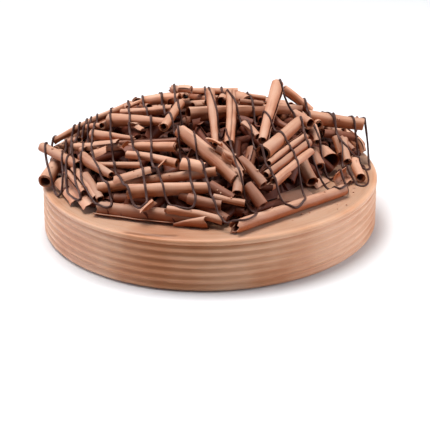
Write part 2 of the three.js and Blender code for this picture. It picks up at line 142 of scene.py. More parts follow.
class Look:
    """A material while its nodes are being made."""

    def __init__(self, name: str) -> None:
        """Starts a material with a plain shader.

        Args:
            name: The material's name.
        """
        self.material = bpy.data.materials.new(name)
        self.material.use_nodes = True
        self.tree = self.material.node_tree
        self.shader = self.tree.nodes["Principled BSDF"]

    def node(self, kind: str, settings: dict, sockets: dict) -> bpy.types.Node:
        """Adds a node.

        Args:
            kind: The node's type.
            settings: Its settings, set first.
            sockets: Values or links for its sockets, by name or number.

        Returns:
            The node.
        """
        made = self.tree.nodes.new(kind)
        for name, value in settings.items():
            setattr(made, name, value)
        for name, value in sockets.items():
            self.feed(made.inputs[name], value)
        return made

    def feed(self, socket: bpy.types.NodeSocket, value: object) -> None:
        """Links a socket to a value, or sets it to a number or colour.

        Args:
            socket: The socket.
            value: A value, another socket, a number or a colour.
        """
        if isinstance(value, Value):
            self.tree.links.new(value.socket, socket)
        elif isinstance(value, bpy.types.NodeSocket):
            self.tree.links.new(value, socket)
        elif socket.type == "RGBA" and len(value) == 3:
            socket.default_value = (*value, 1)
        else:
            socket.default_value = value

    def math(self, operation: str, *terms: Value | float) -> Value:
        """One Math node on one to three terms."""
        made = self.node("ShaderNodeMath", {"operation": operation}, dict(enumerate(terms)))
        return Value(self, made.outputs[0])

    def stored(self, name: str) -> bpy.types.NodeSocket:
        """The vector that a mesh stores at its points under a name."""
        return self.node("ShaderNodeAttribute", {"attribute_name": name}, {}).outputs["Vector"]

    def place(self) -> bpy.types.NodeSocket:
        """A point's place in the object, in metres."""
        return self.node("ShaderNodeTexCoord", {}, {}).outputs["Object"]

    def upward(self) -> Value:
        """How far a surface faces upwards: 1 up, 0 sideways, -1 down."""
        return self.part(self.node("ShaderNodeNewGeometry", {}, {}).outputs["Normal"], 2)

    def part(self, vector: bpy.types.NodeSocket, axis: int) -> Value:
        """One part of a vector: 0, 1 or 2 for x, y or z."""
        split = self.node("ShaderNodeSeparateXYZ", {}, {0: vector})
        return Value(self, split.outputs[axis])

    def stretched(self, vector: bpy.types.NodeSocket, scale: Triple) -> bpy.types.NodeSocket:
        """A vector scaled by its own factor along each axis."""
        made = self.node("ShaderNodeVectorMath", {"operation": "MULTIPLY"}, {0: vector, 1: scale})
        return made.outputs[0]

    def noise(self, vector: bpy.types.NodeSocket, scale: float, detail: float = 2.0,
              roughness: float = 0.5) -> Value:
        """Smooth noise round 0.5.

        Args:
            vector: Where the noise is read.
            scale: Waves per unit of the vector.
            detail: How many finer layers are added.
            roughness: How strong the finer layers are.

        Returns:
            The noise.
        """
        sockets = {"Vector": vector, "Scale": scale, "Detail": detail, "Roughness": roughness}
        return Value(self, self.node("ShaderNodeTexNoise", {}, sockets).outputs[0])

    def cells(self, vector: bpy.types.NodeSocket, scale: float) -> Value:
        """Distance to the nearest of many scattered points, in cells."""
        made = self.node("ShaderNodeTexVoronoi", {}, {"Vector": vector, "Scale": scale})
        return Value(self, made.outputs["Distance"])

    def mix(self, factor: Value | float, low: object, high: object) -> bpy.types.NodeSocket:
        """Mixes two colours.

        Args:
            factor: 0 for the first, 1 for the second.
            low: First colour, or a link.
            high: Second colour, or a link.

        Returns:
            The mixed colour.
        """
        # The node's colours are its inputs 6 and 7 and its output 2.
        made = self.node("ShaderNodeMix", {"data_type": "RGBA"}, {0: factor, 6: low, 7: high})
        return made.outputs[2]

    def toned(self, colour: object, factor: Value) -> bpy.types.NodeSocket:
        """A colour made brighter or darker by a factor round 1.

        Args:
            colour: The colour, or a link.
            factor: What it is multiplied by.

        Returns:
            The new colour.
        """
        grey = self.node("ShaderNodeCombineXYZ", {}, {0: factor, 1: factor, 2: factor})
        sockets = {0: colour, 1: grey.outputs[0]}
        return self.node("ShaderNodeVectorMath", {"operation": "MULTIPLY"}, sockets).outputs[0]

    def relief(self, height: Value, depth: float) -> None:
        """Gives the shader a bump.

        Args:
            height: Height from 0 to 1.
            depth: What 1 stands for, in millimetres.
        """
        bump = self.node("ShaderNodeBump", {}, {"Height": height, "Distance": depth * MM})
        self.feed(self.shader.inputs["Normal"], bump.outputs[0])

    def finish(self, colour: object, roughness: Value | float,
               **fixed: float | Colour) -> bpy.types.Material:
        """Feeds the shader.

        Args:
            colour: Base colour, or a link.
            roughness: Roughness.
            **fixed: Other sockets by name with _ for spaces, each the same all over.

        Returns:
            The finished material.
        """
        self.feed(self.shader.inputs["Base Color"], colour)
        self.feed(self.shader.inputs["Roughness"], roughness)
        for name, value in fixed.items():
            self.feed(self.shader.inputs[name.replace("_", " ")], value)
        return self.material


# ---- Finishes -------------------------------------------------------------------------------


@dataclass(frozen=True)
class ChocolateFinish:
    """Milk chocolate as a blade leaves it: matt, scored across the roll, a little bloomed.

    Scales are waves per metre, or for streaks and scores per millimetre along and round the
    roll. A step gives where a mask begins and where it is full. Faces turned upwards are painted
    pale as light falling on them and other faces deeper as painted shade; tones under hidden_tone
    are painted deep as shade, for curls that lie in the dark.
    """

    name: str = "milk_chocolate"
    plain: Colour = linear(180, 104, 60)
    pale: Colour = linear(196, 154, 130)
    deep: Colour = linear(122, 42, 16)
    roughness: float = 0.5
    specular: float = 0.2
    score_depth: float = 0.22
    cloud_scale: float = 55.0
    grain_scale: float = 2600.0
    streak_scale: Triple = (0.045, 0.9, 7.0)
    score_scale: Triple = (2.4, 0.16, 9.0)
    painted_light_step: Pair = (-0.1, 1.0)
    bloom_step: Pair = (0.42, 0.86)
    dusk_step: Pair = (0.44, 0.66)
    hidden_tone: float = 0.2
    mean_shade: float = 0.86

    def make(self) -> bpy.types.Material:
        """Makes the material, which reads "roll": along, around, tone.

        Returns:
            The material.
        """
        look = Look(self.name)
        roll = look.stored("roll")
        place = look.place()
        tone = look.part(roll, 2)
        clouds = look.noise(place, self.cloud_scale, 3.0, 0.55)
        streaks = look.noise(look.stretched(roll, self.streak_scale), 1.0, 3.0, 0.6)
        scores = look.noise(look.stretched(roll, self.score_scale), 1.0, 2.0, 0.6)
        grain = look.noise(place, self.grain_scale, 2.0, 0.6)
        bloom = (clouds * 0.9 + streaks * 0.5 - 0.12).above(*self.bloom_step)
        # Upward faces are painted paler: a painted highlight where light falls from above.
        painted_top_light = look.upward().above(*self.painted_light_step)
        colour = look.mix((bloom * 0.35 + painted_top_light * 0.7).kept(), self.plain, self.pale)
        dusk = (1 - clouds * 0.7 - streaks * 0.5).above(*self.dusk_step)
        # Random darker patches, and painted shade on faces turned away from above, turn the colour
        # deep.
        colour = look.mix((dusk * 0.4 + 0.3 * (1 - painted_top_light)).kept(), colour, self.deep)
        # Curls of low tone, sunk deep in the heap, are painted deep as shade.
        colour = look.mix((self.hidden_tone - tone).kept() * 0.8, colour, self.deep)
        # The stored tone brings in each curl's pale and the shade painted inside each roll.
        shade = self.mean_shade + tone * 0.28 + (scores - 0.5) * 0.10 + (grain - 0.5) * 0.08
        colour = look.toned(colour, shade)
        look.relief(scores * 0.55 + grain * 0.25 + streaks * 0.6, self.score_depth)
        roughness = self.roughness + (clouds - 0.5) * 0.3 + (scores - 0.5) * 0.12
        return look.finish(colour, roughness, Specular_IOR_Level=self.specular)


@dataclass(frozen=True)
class IcingFinish:
    """Smooth milk chocolate icing: soft, drawn round by the comb, with a few pinholes.

    rim_walk and step_shadow_walk are distances walked up the side and on over the rim, in
    millimetres. step_shadow_turn is where a shadow line is painted along a spatula's step round
    the cake, in degrees, step_shadow_reach how far it runs to both sides as cosines, and
    step_shadow_drift how fast it leaves the rim.
    """

    name: str = "milk_icing"
    plain: Colour = linear(205, 147, 107)
    warm: Colour = linear(189, 121, 78)
    pale: Colour = linear(218, 170, 137)
    step_shadow: Colour = linear(150, 92, 50)
    roughness: float = 0.5
    specular: float = 0.4
    stroke_depth: float = 0.24
    cloud_scale: float = 16.0
    grain_scale: float = 1500.0
    stroke_scale: Triple = (2.2, 2.2, 0.55)
    line_scale: Triple = (3.5, 3.5, 2.6)
    hole_scale: float = 210.0
    hole_step: Pair = (0.03, 0.12)
    pale_step: Pair = (0.42, 0.78)
    warm_step: Pair = (0.36, 0.62)
    mean_shade: float = 0.96
    rim_walk: Pair = (46.5, 53.0)
    top_shade: float = 0.3
    step_shadow_turn: float = 250.5
    step_shadow_reach: Pair = (0.985, 0.992)
    step_shadow_drift: float = 17.0
    step_shadow_fray: float = 1.5
    step_shadow_walk: tuple[float, float, float, float] = (50.6, 51.2, 52.8, 54.8)
    step_shadow_strength: float = 0.9

    def make(self) -> bpy.types.Material:
        """Makes the material, which reads "sweep": round the cake and across the strokes.

        Returns:
            The material.
        """
        look = Look(self.name)
        sweep = look.stored("sweep")
        place = look.place()
        clouds = look.noise(place, self.cloud_scale, 3.0, 0.55)
        strokes = look.noise(look.stretched(sweep, self.stroke_scale), 1.0, 4.0, 0.62)
        lines = look.noise(look.stretched(sweep, self.line_scale), 1.0, 3.0, 0.6)
        grain = look.noise(place, self.grain_scale, 3.0, 0.6)
        holes = 1 - look.cells(place, self.hole_scale).above(*self.hole_step)
        paler = (clouds * 0.6 + strokes * 0.6).above(*self.pale_step)
        warmer = (1 - clouds * 0.8 - lines * 0.3).above(*self.warm_step) * 0.8
        colour = look.mix(paler, self.plain, self.pale)
        colour = look.mix(warmer, colour, self.warm)
        # A shadow line is painted along a spatula's step near the rim.
        colour = look.mix(self.painted_step_shadow(look, sweep, lines), colour, self.step_shadow)
        # The top past the rim is painted darker, as shade.
        top = look.part(sweep, 2).above(*self.rim_walk) * self.top_shade
        fine = (lines - 0.5) * 0.06 + (grain - 0.5) * 0.06
        # Pinholes are painted darker, as shade in their pits.
        colour = look.toned(colour, self.mean_shade + fine - holes * 0.12 - top)
        look.relief(strokes * 0.7 + lines * 0.3 + grain * 0.2 - holes * 0.6, self.stroke_depth)
        roughness = self.roughness + (clouds - 0.5) * 0.25 + (lines - 0.5) * 0.15
        return look.finish(
            colour, roughness, Specular_IOR_Level=self.specular, Sheen_Weight=0.2,
            Sheen_Roughness=0.45, Subsurface_Weight=0.08, Subsurface_Radius=(0.9, 0.5, 0.3),
            Subsurface_Scale=0.002,
        )

    def painted_step_shadow(self, look: Look, sweep: bpy.types.NodeSocket, lines: Value) -> Value:
        """Where a shadow line is painted along a spatula's step just inside the rim.

        Args:
            look: The material in the making.
            sweep: Direction round the cake and the distance walked.
            lines: Fine lines of the spatula.

        Returns:
            0 elsewhere on the icing, the painted shadow's strength in its middle.
        """
        turn = math.radians(self.step_shadow_turn)
        right, back = look.part(sweep, 0), look.part(sweep, 1)
        facing = right * math.cos(turn) + back * math.sin(turn)
        beside = back * math.cos(turn) - right * math.sin(turn)
        walk = look.part(sweep, 2) + (lines - 0.5) * self.step_shadow_fray - beside * self.step_shadow_drift
        outer, full, fading, inner = self.step_shadow_walk
        across = walk.above(outer, full) * (1 - walk.above(fading, inner))
        return (facing.above(*self.step_shadow_reach) * across * self.step_shadow_strength).kept()


@dataclass(frozen=True)
class DrizzleFinish:
    """Dark chocolate set with a satin sheen, unevenly bloomed."""

    name: str = "dark_drizzle"
    plain: Colour = linear(68, 37, 29)
    bloomed: Colour = linear(100, 70, 61)
    roughness: float = 0.4
    specular: float = 0.28
    cloud_scale: float = 95.0
    grain_scale: float = 1900.0
    bloom_step: Pair = (0.46, 0.72)
    relief_depth: float = 0.25

    def make(self) -> bpy.types.Material:
        """Makes the material.

        Returns:
            The material.
        """
        look = Look(self.name)
        place = look.place()
        clouds = look.noise(place, self.cloud_scale, 3.0, 0.6)
        grain = look.noise(place, self.grain_scale, 2.0, 0.6)
        colour = look.mix(clouds.above(*self.bloom_step) * 0.7, self.plain, self.bloomed)
        look.relief(clouds * 0.6 + grain * 0.3, self.relief_depth)
        roughness = self.roughness + clouds * 0.22 + (grain - 0.5) * 0.1
        return look.finish(colour, roughness, Specular_IOR_Level=self.specular)


@dataclass(frozen=True)
class FloorFinish:
    """A plain pale studio floor."""

    name: str = "pale_floor"
    plain: Colour = linear(223, 223, 223)
    roughness: float = 0.85
    specular: float = 0.1
    cloud_scale: float = 2.0
    cloud_share: float = 0.01
    mean_shade: float = 0.995

    def make(self) -> bpy.types.Material:
        """Makes the material.

        Returns:
            The material.
        """
        look = Look(self.name)
        clouds = look.noise(look.place(), self.cloud_scale, 1.0)
        colour = look.toned(self.plain, self.mean_shade + (clouds - 0.5) * self.cloud_share)
        return look.finish(colour, self.roughness, Specular_IOR_Level=self.specular)


# ---- Mesh helpers ---------------------------------------------------------------------------


class Patchwork:
    """Points, faces and stored vectors of one mesh while it is being gathered."""

    def __init__(self) -> None:
        """Starts empty."""
        self.points: list[np.ndarray] = []
        self.faces: list[np.ndarray] = []
        self.stored: list[np.ndarray] = []
        self.count = 0

    def add(self, points: np.ndarray, faces: np.ndarray, stored: np.ndarray) -> None:
        """Adds a closed body.

        Args:
            points: Its points, one row each.
            faces: Its faces, each three or four of its own points.
            stored: A vector for each point.
        """
        self.points.append(points)
        self.faces.append(faces + self.count)
        self.stored.append(stored)
        self.count += len(points)

    def mesh(self, name: str, attribute: str, finish: bpy.types.Material,
             sharp: float = 50.0) -> bpy.types.Object:
        """Makes the object.

        Args:
            name: The piece's name.
            attribute: Name under which the stored vectors are kept.
            finish: Its material.
            sharp: Edges over this many degrees stay sharp.

        Returns:
            The object, which rides on the cake's body.
        """
        data = bpy.data.meshes.new(name)
        points = np.concatenate(self.points) * MM
        faces = self.face_list()
        data.from_pydata(points.tolist(), [], faces)
        made = data.attributes.new(attribute, "FLOAT_VECTOR", "POINT")
        made.data.foreach_set("vector", np.concatenate(self.stored).astype(np.float32).ravel())
        data.polygons.foreach_set("use_smooth", np.ones(len(faces), bool))
        data.set_sharp_from_angle(angle=math.radians(sharp))
        data.materials.append(finish)
        data.update()
        piece = bpy.data.objects.new(name, data)
        bpy.context.scene.collection.objects.link(piece)
        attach(piece, BODY)
        return piece

    def tree(self) -> BVHTree:
        """What has been gathered so far, for finding what lies where."""
        return BVHTree.FromPolygons(np.concatenate(self.points).tolist(), self.face_list())

    def face_list(self) -> list[list[int]]:
        """All faces, each as a list of its points' numbers."""
        return [face for block in self.faces for face in block.tolist()]


def lattice(rows: int, columns: int, start: int = 0, closed: bool = False) -> np.ndarray:
    """Faces of a grid of points.

    Args:
        rows: Rows of points.
        columns: Points in a row.
        start: Number of the first point.
        closed: Whether each row runs round to its start.

    Returns:
        One face of four points a row.
    """
    across = columns if closed else columns - 1
    row, column = np.meshgrid(np.arange(rows - 1), np.arange(across), indexing="ij")
    row, column = row.ravel(), column.ravel()
    beyond = (column + 1) % columns
    corners = [row * columns + column, row * columns + beyond]
    corners += [corners[1] + columns, corners[0] + columns]
    return np.stack(corners, 1) + start


def fan(centre: int, ring: int, sides: int, onward: bool) -> np.ndarray:
    """Triangles that close a ring of points with its middle.

    Args:
        centre: Number of the middle point.
        ring: Number of the ring's first point.
        sides: Points in the ring.
        onward: Whether the triangles run the same way round as the ring.

    Returns:
        One triangle a row.
    """
    step = np.arange(sides)
    beyond = (step + 1) % sides
    first, second = (step, beyond) if onward else (beyond, step)
    return np.stack([np.full(sides, centre), first + ring, second + ring], 1)


def report(piece: bpy.types.Object) -> None:
    """Logs a piece's name and size."""
    log.info("%s: %d points, %d faces", piece.name, len(piece.data.vertices),
             len(piece.data.polygons))


# ---- The heap's form ------------------------------------------------------------------------


@dataclass(frozen=True)
class HeapForm:
    """The oval mound on whose surface the axes of the top curls lie, hollow at the front right.

    hollow_left is where the hollow begins and is full from left to right, and hollow_back the
    place and the slant of the line behind which it ends.
    """

    half_width: float = 122.0
    half_depth: float = 106.0
    centre_y: float = 4.0
    rise: float = 46.0
    fullness: float = 0.75
    lowest_axis: float = 5.0
    icing_top: float = 38.5
    hollow_left: Pair = (44.0, 58.0)
    hollow_back: Pair = (-30.0, 1.1)
    hollow_slope: float = 16.0

    def inside(self, x: float, y: float) -> float:
        """How far inside the footprint a place lies.

        Args:
            x: Place in plan.
            y: Place in plan.

        Returns:
            1 in the middle, 0 at the edge and beyond.
        """
        across = x / self.half_width
        along = (y - self.centre_y) / self.half_depth
        return max(0.0, 1 - across * across - along * along)

    def hollow(self, x: float, y: float) -> float:
        """How far a place lies in the hollow, which opens forwards from a slanting line.

        Args:
            x: Place in plan.
            y: Place in plan.

        Returns:
            1 in the hollow, 0 outside it.
        """
        start, end = self.hollow_left
        place, slant = self.hollow_back
        line = place + slant * (x - end)
        return self.eased((x - start) / (end - start)) * self.eased((line - y) / self.hollow_slope)

    @staticmethod
    def eased(share: float) -> float:
        """A smooth step from 0 to 1."""
        kept = min(max(share, 0.0), 1.0)
        return kept * kept * (3 - 2 * kept)

    def axis_height(self, x: float, y: float) -> float:
        """Height of a top curl's axis over a place."""
        climbed = self.rise * self.inside(x, y) ** self.fullness * (1 - self.hollow(x, y))
        return self.icing_top + self.lowest_axis + climbed


HEAP = HeapForm()


@dataclass(frozen=True)
class Curl:
    """A rolled sheet of chocolate, its ends given in plan on the heap.

    start and end are the axis' ends, radii and lift their radius and their height over the
    heap's surface. turns is how far the sheet rolls, seam the angle of its outer edge round the
    axis, torn how ragged its two ends are, pale how much lighter it is coloured, darker where
    negative, and lip how far its outer edge stands off. pale is partly a curl's own tone and partly
    painted light and shade: raised where a curl lies in the light, lowered where it lies sunk in
    shadow. Without turns or a seam, they are drawn at random.
    """

    start: Plan
    end: Plan
    radii: Pair
    lift: Pair
    turns: float = 0.0
    seam: float | None = None
    torn: Pair = (0.45, 0.45)
    pale: float = 0.0
    lip: float = 0.0


def over_icing(start: Plan, end: Plan, radii: Pair, heights: Pair, **more: object) -> Curl:
    """A curl placed by the heights of its axis' ends over the icing.

    Args:
        start: Place of one end.
        end: Place of the other.
        radii: Radius at each end.
        heights: Height of each end over the icing.
        **more: Other fields of the curl.

    Returns:
        The curl.
    """
    lift = tuple(
        HEAP.icing_top + height - HEAP.axis_height(*place)
        for place, height in zip((start, end), heights)
    )
    return Curl(start, end, radii, lift, **more)


class Layer(Enum):
    """How finely the curls of a layer are made: points in a turn, spacing along."""

    SHOWN = (26, 2.8)
    FAR = (20, 4.2)
    UNDER = (14, 6.0)

    @property
    def around(self) -> int:
        """Points in one turn."""
        return self.value[0]

    @property
    def spacing(self) -> float:
        """Distance between points along the axis."""
        return self.value[1]


# Each curl's pale paints light and shade into its colour as well as its own tone.
# Over the left edge and up the left shoulder.
LEFT_CURLS = [
    Curl((-118, 20), (-63, 26), (2.7, 2.9), (9, 3)),
    Curl((-124, 0), (-93, -41), (3.8, 3.8), (16, 1)),
    Curl((-119, -34), (-110, 0), (5.8, 5.4), (2.5, -3), turns=2.0, torn=(0.3, 0.9), pale=0.3),
    Curl((-104, 6), (-95, -4), (3.2, 3), (0, 0)),
    Curl((-92, 16), (-79, 4), (3, 3.2), (1, 0)),
    Curl((-73, 4), (-30, -24), (5.8, 3.4), (2, 1)),
    Curl((-65, 16), (-26, -2), (3.7, 3.8), (1, 1), pale=0.3),
    Curl((-49, 30), (-21, 17), (4.2, 4.4), (2, 2), pale=0.8),
    Curl((-61, 24), (-49, 38), (2, 2.2), (2, 1), pale=0.9),
    Curl((-85, -8), (-53, -35), (4.6, 1.7), (1, 1)),
    Curl((-64, -32), (-22, -44), (2.2, 2.4), (-1, -1), pale=-0.8),
    Curl((-100, -12), (-22, -51), (3.4, 4), (1, -1.5), torn=(0.8, 1.6), pale=0.6),
    Curl((-96, -7), (-89, -22), (3.6, 4), (-3, -3)),
]

# Long curls lying across the front, the lowest of them on the icing.
FRONT_CURLS = [
    Curl((-91, -33), (-68, -64), (4.6, 3), (1, 1)),
    Curl((-80, -47), (-47, -62), (2.6, 2.8), (-1, -1)),
    Curl((-58, -51), (-22, -69), (3.4, 3.8), (1, 1), pale=0.4),
    Curl((-78, -65), (5, -76), (4.2, 3.5), (-2.5, 1), pale=0.5),
    Curl((-57, -79), (0, -85), (5.4, 4.2), (0.5, -1.5), torn=(2.2, 1.0), pale=0.1),
    Curl((-103, -36), (-88, -64), (3.2, 3.4), (-1, -1), turns=1.0, torn=(1.2, 1.4), pale=0.35),
    Curl((-97, -37), (-79, -73), (3.2, 3.3), (-1, -1), turns=1.0, torn=(1.2, 1.4), pale=0.35),
    Curl((-88, -49), (-76, -74), (3.2, 3.4), (-2, -2), pale=-0.7),
    Curl((-78, -76), (0, -103), (4.9, 5.0), (-3.5, -1.0), turns=1.15, seam=-64,
         torn=(2.6, 2.8), lip=1.5, pale=-0.5),
    Curl((-31, -96), (9, -105), (3, 3.2), (2, 1), torn=(2.0, 1.0), pale=-0.2),
    Curl((-15, -91), (8, -96), (4.2, 3.8), (-1, 0), pale=-0.5),
    Curl((0, -83), (16, -91), (4.6, 4.4), (-2, -2), pale=-0.6),
    Curl((2, -93), (24, -95), (2.4, 2.4), (1, 1), pale=-0.4),
]

# The slanting curls of the middle, the two upright sticks and the one that stands out on top.
MIDDLE_CURLS = [
    Curl((-20, -38), (19, -80), (5.4, 5.6), (2, -0.5)),
    Curl((8, -56), (23, -78), (2.8, 2.9), (4, 3), pale=-0.4),
    Curl((5, -60), (18, -67), (3, 3), (2, 2)),
    Curl((21, -65), (37, -82), (3.8, 3.8), (0, 0), pale=-0.3),
    Curl((20, -74), (19, -90), (3.8, 4.1), (1, 1), pale=-0.3),
    Curl((26, -83), (36, -94), (4.2, 4.6), (0, 1), pale=-1.1),
    Curl((2, 18), (5, -56), (4.1, 2.8), (6, 3), pale=-0.3),
    Curl((17, 24), (14, -56), (4.2, 4.0), (4, 3)),
    Curl((-15, -6), (70, 28), (6.4, 4.2), (-3, 1)),
    Curl((-20, 3), (-32, -33), (3.8, 3.9), (3, 3), pale=-0.4),
    Curl((52, 14), (38, -45), (5.3, 3.7), (18.5, 0.5)),
    Curl((25, -26), (35, -41), (3, 3), (0, 0), pale=-0.4),
    Curl((48, -12), (58, -23), (2.8, 2.8), (1, 1), pale=-1.1),
    Curl((31, -44), (27, -62), (4.2, 4.4), (-8, -8), pale=-1.0),
]

# The sheaf right of the middle, the wide mouths beside it and the sticks over the right edge;
# last, the long thin curl that lies on the icing in front of them.
RIGHT_CURLS = [
    Curl((38, -60), (66, -12), (5.8, 4.4), (3, 3), turns=1.8, pale=-0.3),
    over_icing((41, -66), (70, -26), (3, 3.2), (31.5, 36.5), pale=-0.4),
    over_icing((39, -75), (72, -34), (3.4, 3.4), (26.5, 34.5), pale=-0.4),
    over_icing((44, -78), (73, -42), (3, 3.2), (22.5, 30.5), pale=-0.1),
    over_icing((40, -66), (57, -49), (3.3, 3.1), (11.5, 18.5)),
    over_icing((62, -34), (57, -44), (4.0, 4.2), (15.5, 8.5), pale=-1.0),
    over_icing((68, -18), (74, -39), (4.7, 5), (14, 5.4), pale=-0.4),
    over_icing((78, -4), (81, -22), (3.6, 3.7), (17, 10.5), pale=-0.7),
    over_icing((82, 14), (90, -9), (3.4, 8), (16, 9.5), turns=1.25),
    Curl((64, 12), (75, -3), (4.4, 4.6), (-1, 0)),
    over_icing((78, 8), (80, -7), (3.7, 3.7), (31.5, 23.5)),
    over_icing((94, 8), (98, -2), (3.0, 3.1), (22.5, 12.5), pale=-0.5),
    over_icing((101, 6), (102, -13), (3.6, 3.7), (21.5, 10.5), pale=-0.3),
    over_icing((99, 10), (108, -2), (2.7, 2.7), (21.5, 15.5), pale=-0.8),
    over_icing((111, 15), (116, 9), (2.9, 3.0), (18.5, 9.5)),
    over_icing((94, -38), (104, -24), (5.5, 5.0), (5.5, 7.5), turns=0.55, seam=120, pale=0.3),
    over_icing((108, -2), (110, -30), (4, 4.2), (8.5, 4.4), pale=0.2),
    Curl((57, 30), (78, 28), (3.6, 3.8), (13, 2), pale=0.3),
    over_icing((75, 20), (117, 22), (6.0, 5.2), (34.5, 27), seam=150),
    over_icing((86, 12), (110, 16), (3.6, 3.6), (24, 19), pale=-1.0),
    over_icing((13, -117), (96, -52), (5.0, 4.5), (5.2, 4.7), turns=1.4, seam=165,
               torn=(7.0, 0.4)),
]

# Along the skyline behind the middle.
BACK_CURLS = [
    Curl((-22, 30), (-12, 26), (3.4, 3.4), (7, 6), pale=0.6),
    Curl((-16, 36), (-17, 18), (2.6, 2.8), (2, 3)),
    Curl((-14, 40), (23, 42), (3, 3), (3, 3)),
    Curl((23, 36), (44, 36), (2.5, 2.5), (2, 1)),
    Curl((23, 14), (41, 16), (2.7, 2.7), (0, 0), pale=-0.5),
    Curl((12, 34), (10, 16), (4.6, 4.8), (-2, -2), pale=-0.3),
]

# Half open and flat sheets that lie between the curls: little of a turn on a wide radius.
SHEETS = [
    Curl((-19, -69), (-3, -74), (5.5, 5.0), (0, 0), turns=0.42, seam=-10, pale=0.5),
    Curl((-82, -39), (-70, -38), (7, 6), (-2, -2), turns=0.3, seam=30, torn=(2.2, 2.2)),
    Curl((-66, -68), (-38, -69), (6, 5), (-3, -2), turns=0.34, seam=20, torn=(2.4, 2.4)),
    Curl((-61, -46), (-55, -44), (3, 2.5), (2.5, 3), turns=0.3, seam=100, torn=(1.6, 1.6)),
    Curl((-35, -71), (-28, -66), (3, 2.5), (0, 2), turns=0.28, seam=80, torn=(1.8, 1.8)),
    Curl((-58, -19), (-50, -25), (3.4, 3), (1, 2.5), turns=0.32, seam=60,
         torn=(2.6, 2.2), pale=-0.3),
    Curl((-53, -22), (-46, -30), (3, 2.4), (2, 1), turns=0.3, seam=20, torn=(2.2, 2.6), pale=-0.2),
    Curl((-3, -60), (9, -66), (4.5, 4), (7, 8), turns=0.3, seam=70, torn=(2.4, 2.0), pale=0.3),
    Curl((7, -70), (15, -77), (3.5, 3.2), (7, 6), turns=0.36, seam=100, torn=(2.2, 2.4), pale=0.2),
    Curl((17, -76), (22, -82), (3, 3), (4, 2), turns=0.42, seam=40, torn=(2.0, 2.2)),
    Curl((-46, -95), (-36, -92), (4, 4), (1, 2), turns=0.45, seam=60, torn=(2.2, 2.2)),
    Curl((-29, 39), (-19, 33), (3.2, 5.0), (7.5, 3), turns=0.6, seam=-60, torn=(5, 4), pale=-0.6),
    Curl((-21, 36), (-15, 38), (3.0, 3.6), (6, 4.5), turns=0.5, seam=20,
         torn=(3.0, 2.6), pale=-0.4),
    Curl((-84, -22), (-63, -32), (4, 3.5), (-2, -2), turns=0.4, seam=30, torn=(2.2, 2.2)),
    over_icing((-80, -77), (-22, -96), (6.6, 6.6), (6.9, 6.9), turns=0.16, seam=-96,
               torn=(1.0, 1.2), pale=0.3),
    over_icing((-25, -100.4), (0.5, -103.4), (1.3, 5.2), (1.7, 5.5), turns=0.42, seam=-85,
               torn=(0.6, 4.4), pale=0.25),
    over_icing((-108, -27), (-92, -63), (6.5, 6), (2.5, 0), turns=0.36, seam=12,
               torn=(2.0, 1.8), pale=0.7),
    over_icing((-98, -36), (-82, -75), (6.5, 6.5), (5.5, 0.5), turns=0.36, seam=20,
               torn=(2.0, 2.2), pale=0.6),
    # These two wide sheets in the hollow are painted lighter, as light over the sheaf's shade.
    over_icing((44, -62), (72, -47), (13, 11), (-9, -7), turns=0.3, seam=36,
               torn=(2.6, 2.2), pale=1.0),
    over_icing((72, -34), (84, -20), (12, 11), (-9, -8), turns=0.22, seam=50,
               torn=(2.6, 2.2), pale=0.2),
]


class Draws:
    """Repeatable random numbers between 0 and 1, drawn as the solids' source draws them."""

    def __init__(self, seed: int) -> None:
        """Starts from a seed."""
        self.state = seed

    def draw(self) -> float:
        """The next number."""
        self.state = (self.state * 1664525 + 1013904223) % 2**32
        return self.state / 2**32

    def between(self, low: float, high: float) -> float:
        """The next number, between two limits."""
        return low + (high - low) * self.draw()


@dataclass(frozen=True)
class Scatter:
    """Curls at even spacing over a stretch of the heap, lying any way round."""

    seed: int
    front: float
    back: float
    spacing: float
    depth: Pair
    half_length: Pair
    radius: Pair
    pale: float = 0.0
    row_share: float = 0.75
    jitter: float = 3.0
    taper: Pair = (0.85, 1.1)
    hollow_limit: float = 0.4
    least_inside: float = 0.02
    wide_spacing: float = 20.0

    def curls(self) -> list[Curl]:
        """Strews the curls, row by row from the front.

        Returns:
            Curls whose ends lie on the heap, outside its hollow.
        """
        draws = Draws(self.seed)
        pitch = self.spacing * self.row_share
        # Columns to each side of the middle, enough at either spacing to pass the heap's edge.
        reach = 5 if self.spacing > self.wide_spacing else 9
        made = []
        for row in range(int((self.back - self.front) // pitch) + 1):
            y = self.front + row * pitch
            for column in range(-reach, reach + 1):
                shifted = (column + (row % 2) / 2) * self.spacing
                x = shifted + draws.between(-self.jitter, self.jitter)
                bearing = draws.between(0, math.pi)
                longest = draws.between(*self.half_length)
                thick = draws.between(*self.radius)
                lift = draws.between(*self.depth)
                ends = self.ends(x, y, bearing, longest)
                if ends is None:
                    continue
                radii = (thick, thick * draws.between(*self.taper))
                lifts = [max(lift, self.lowest_lift(place, thick)) for place in ends]
                if HEAP.hollow(x, y) < self.hollow_limit:
                    made.append(Curl(*ends, radii, tuple(lifts), pale=self.pale))
        return made

    @staticmethod
    def lowest_lift(place: Plan, thick: float) -> float:
        """Lift at which a curl's end lies on the icing."""
        return HEAP.icing_top + thick - HEAP.axis_height(*place)

    def ends(self, x: float, y: float, bearing: float,
             longest: float) -> tuple[Plan, Plan] | None:
        """The ends of a curl about its middle.

        Args:
            x: Place of its middle.
            y: Place of its middle.
            bearing: Its direction in plan.
            longest: Half its length, shortened until both ends lie on the heap.

        Returns:
            The two ends, or None where it has no room.
        """
        for share in (1, 0.8, 0.6):
            dx = share * longest * math.cos(bearing)
            dy = share * longest * math.sin(bearing)
            ends = (x - dx, y - dy), (x + dx, y + dy)
            if min(HEAP.inside(*ends[0]), HEAP.inside(*ends[1])) > self.least_inside:
                return ends
        return None


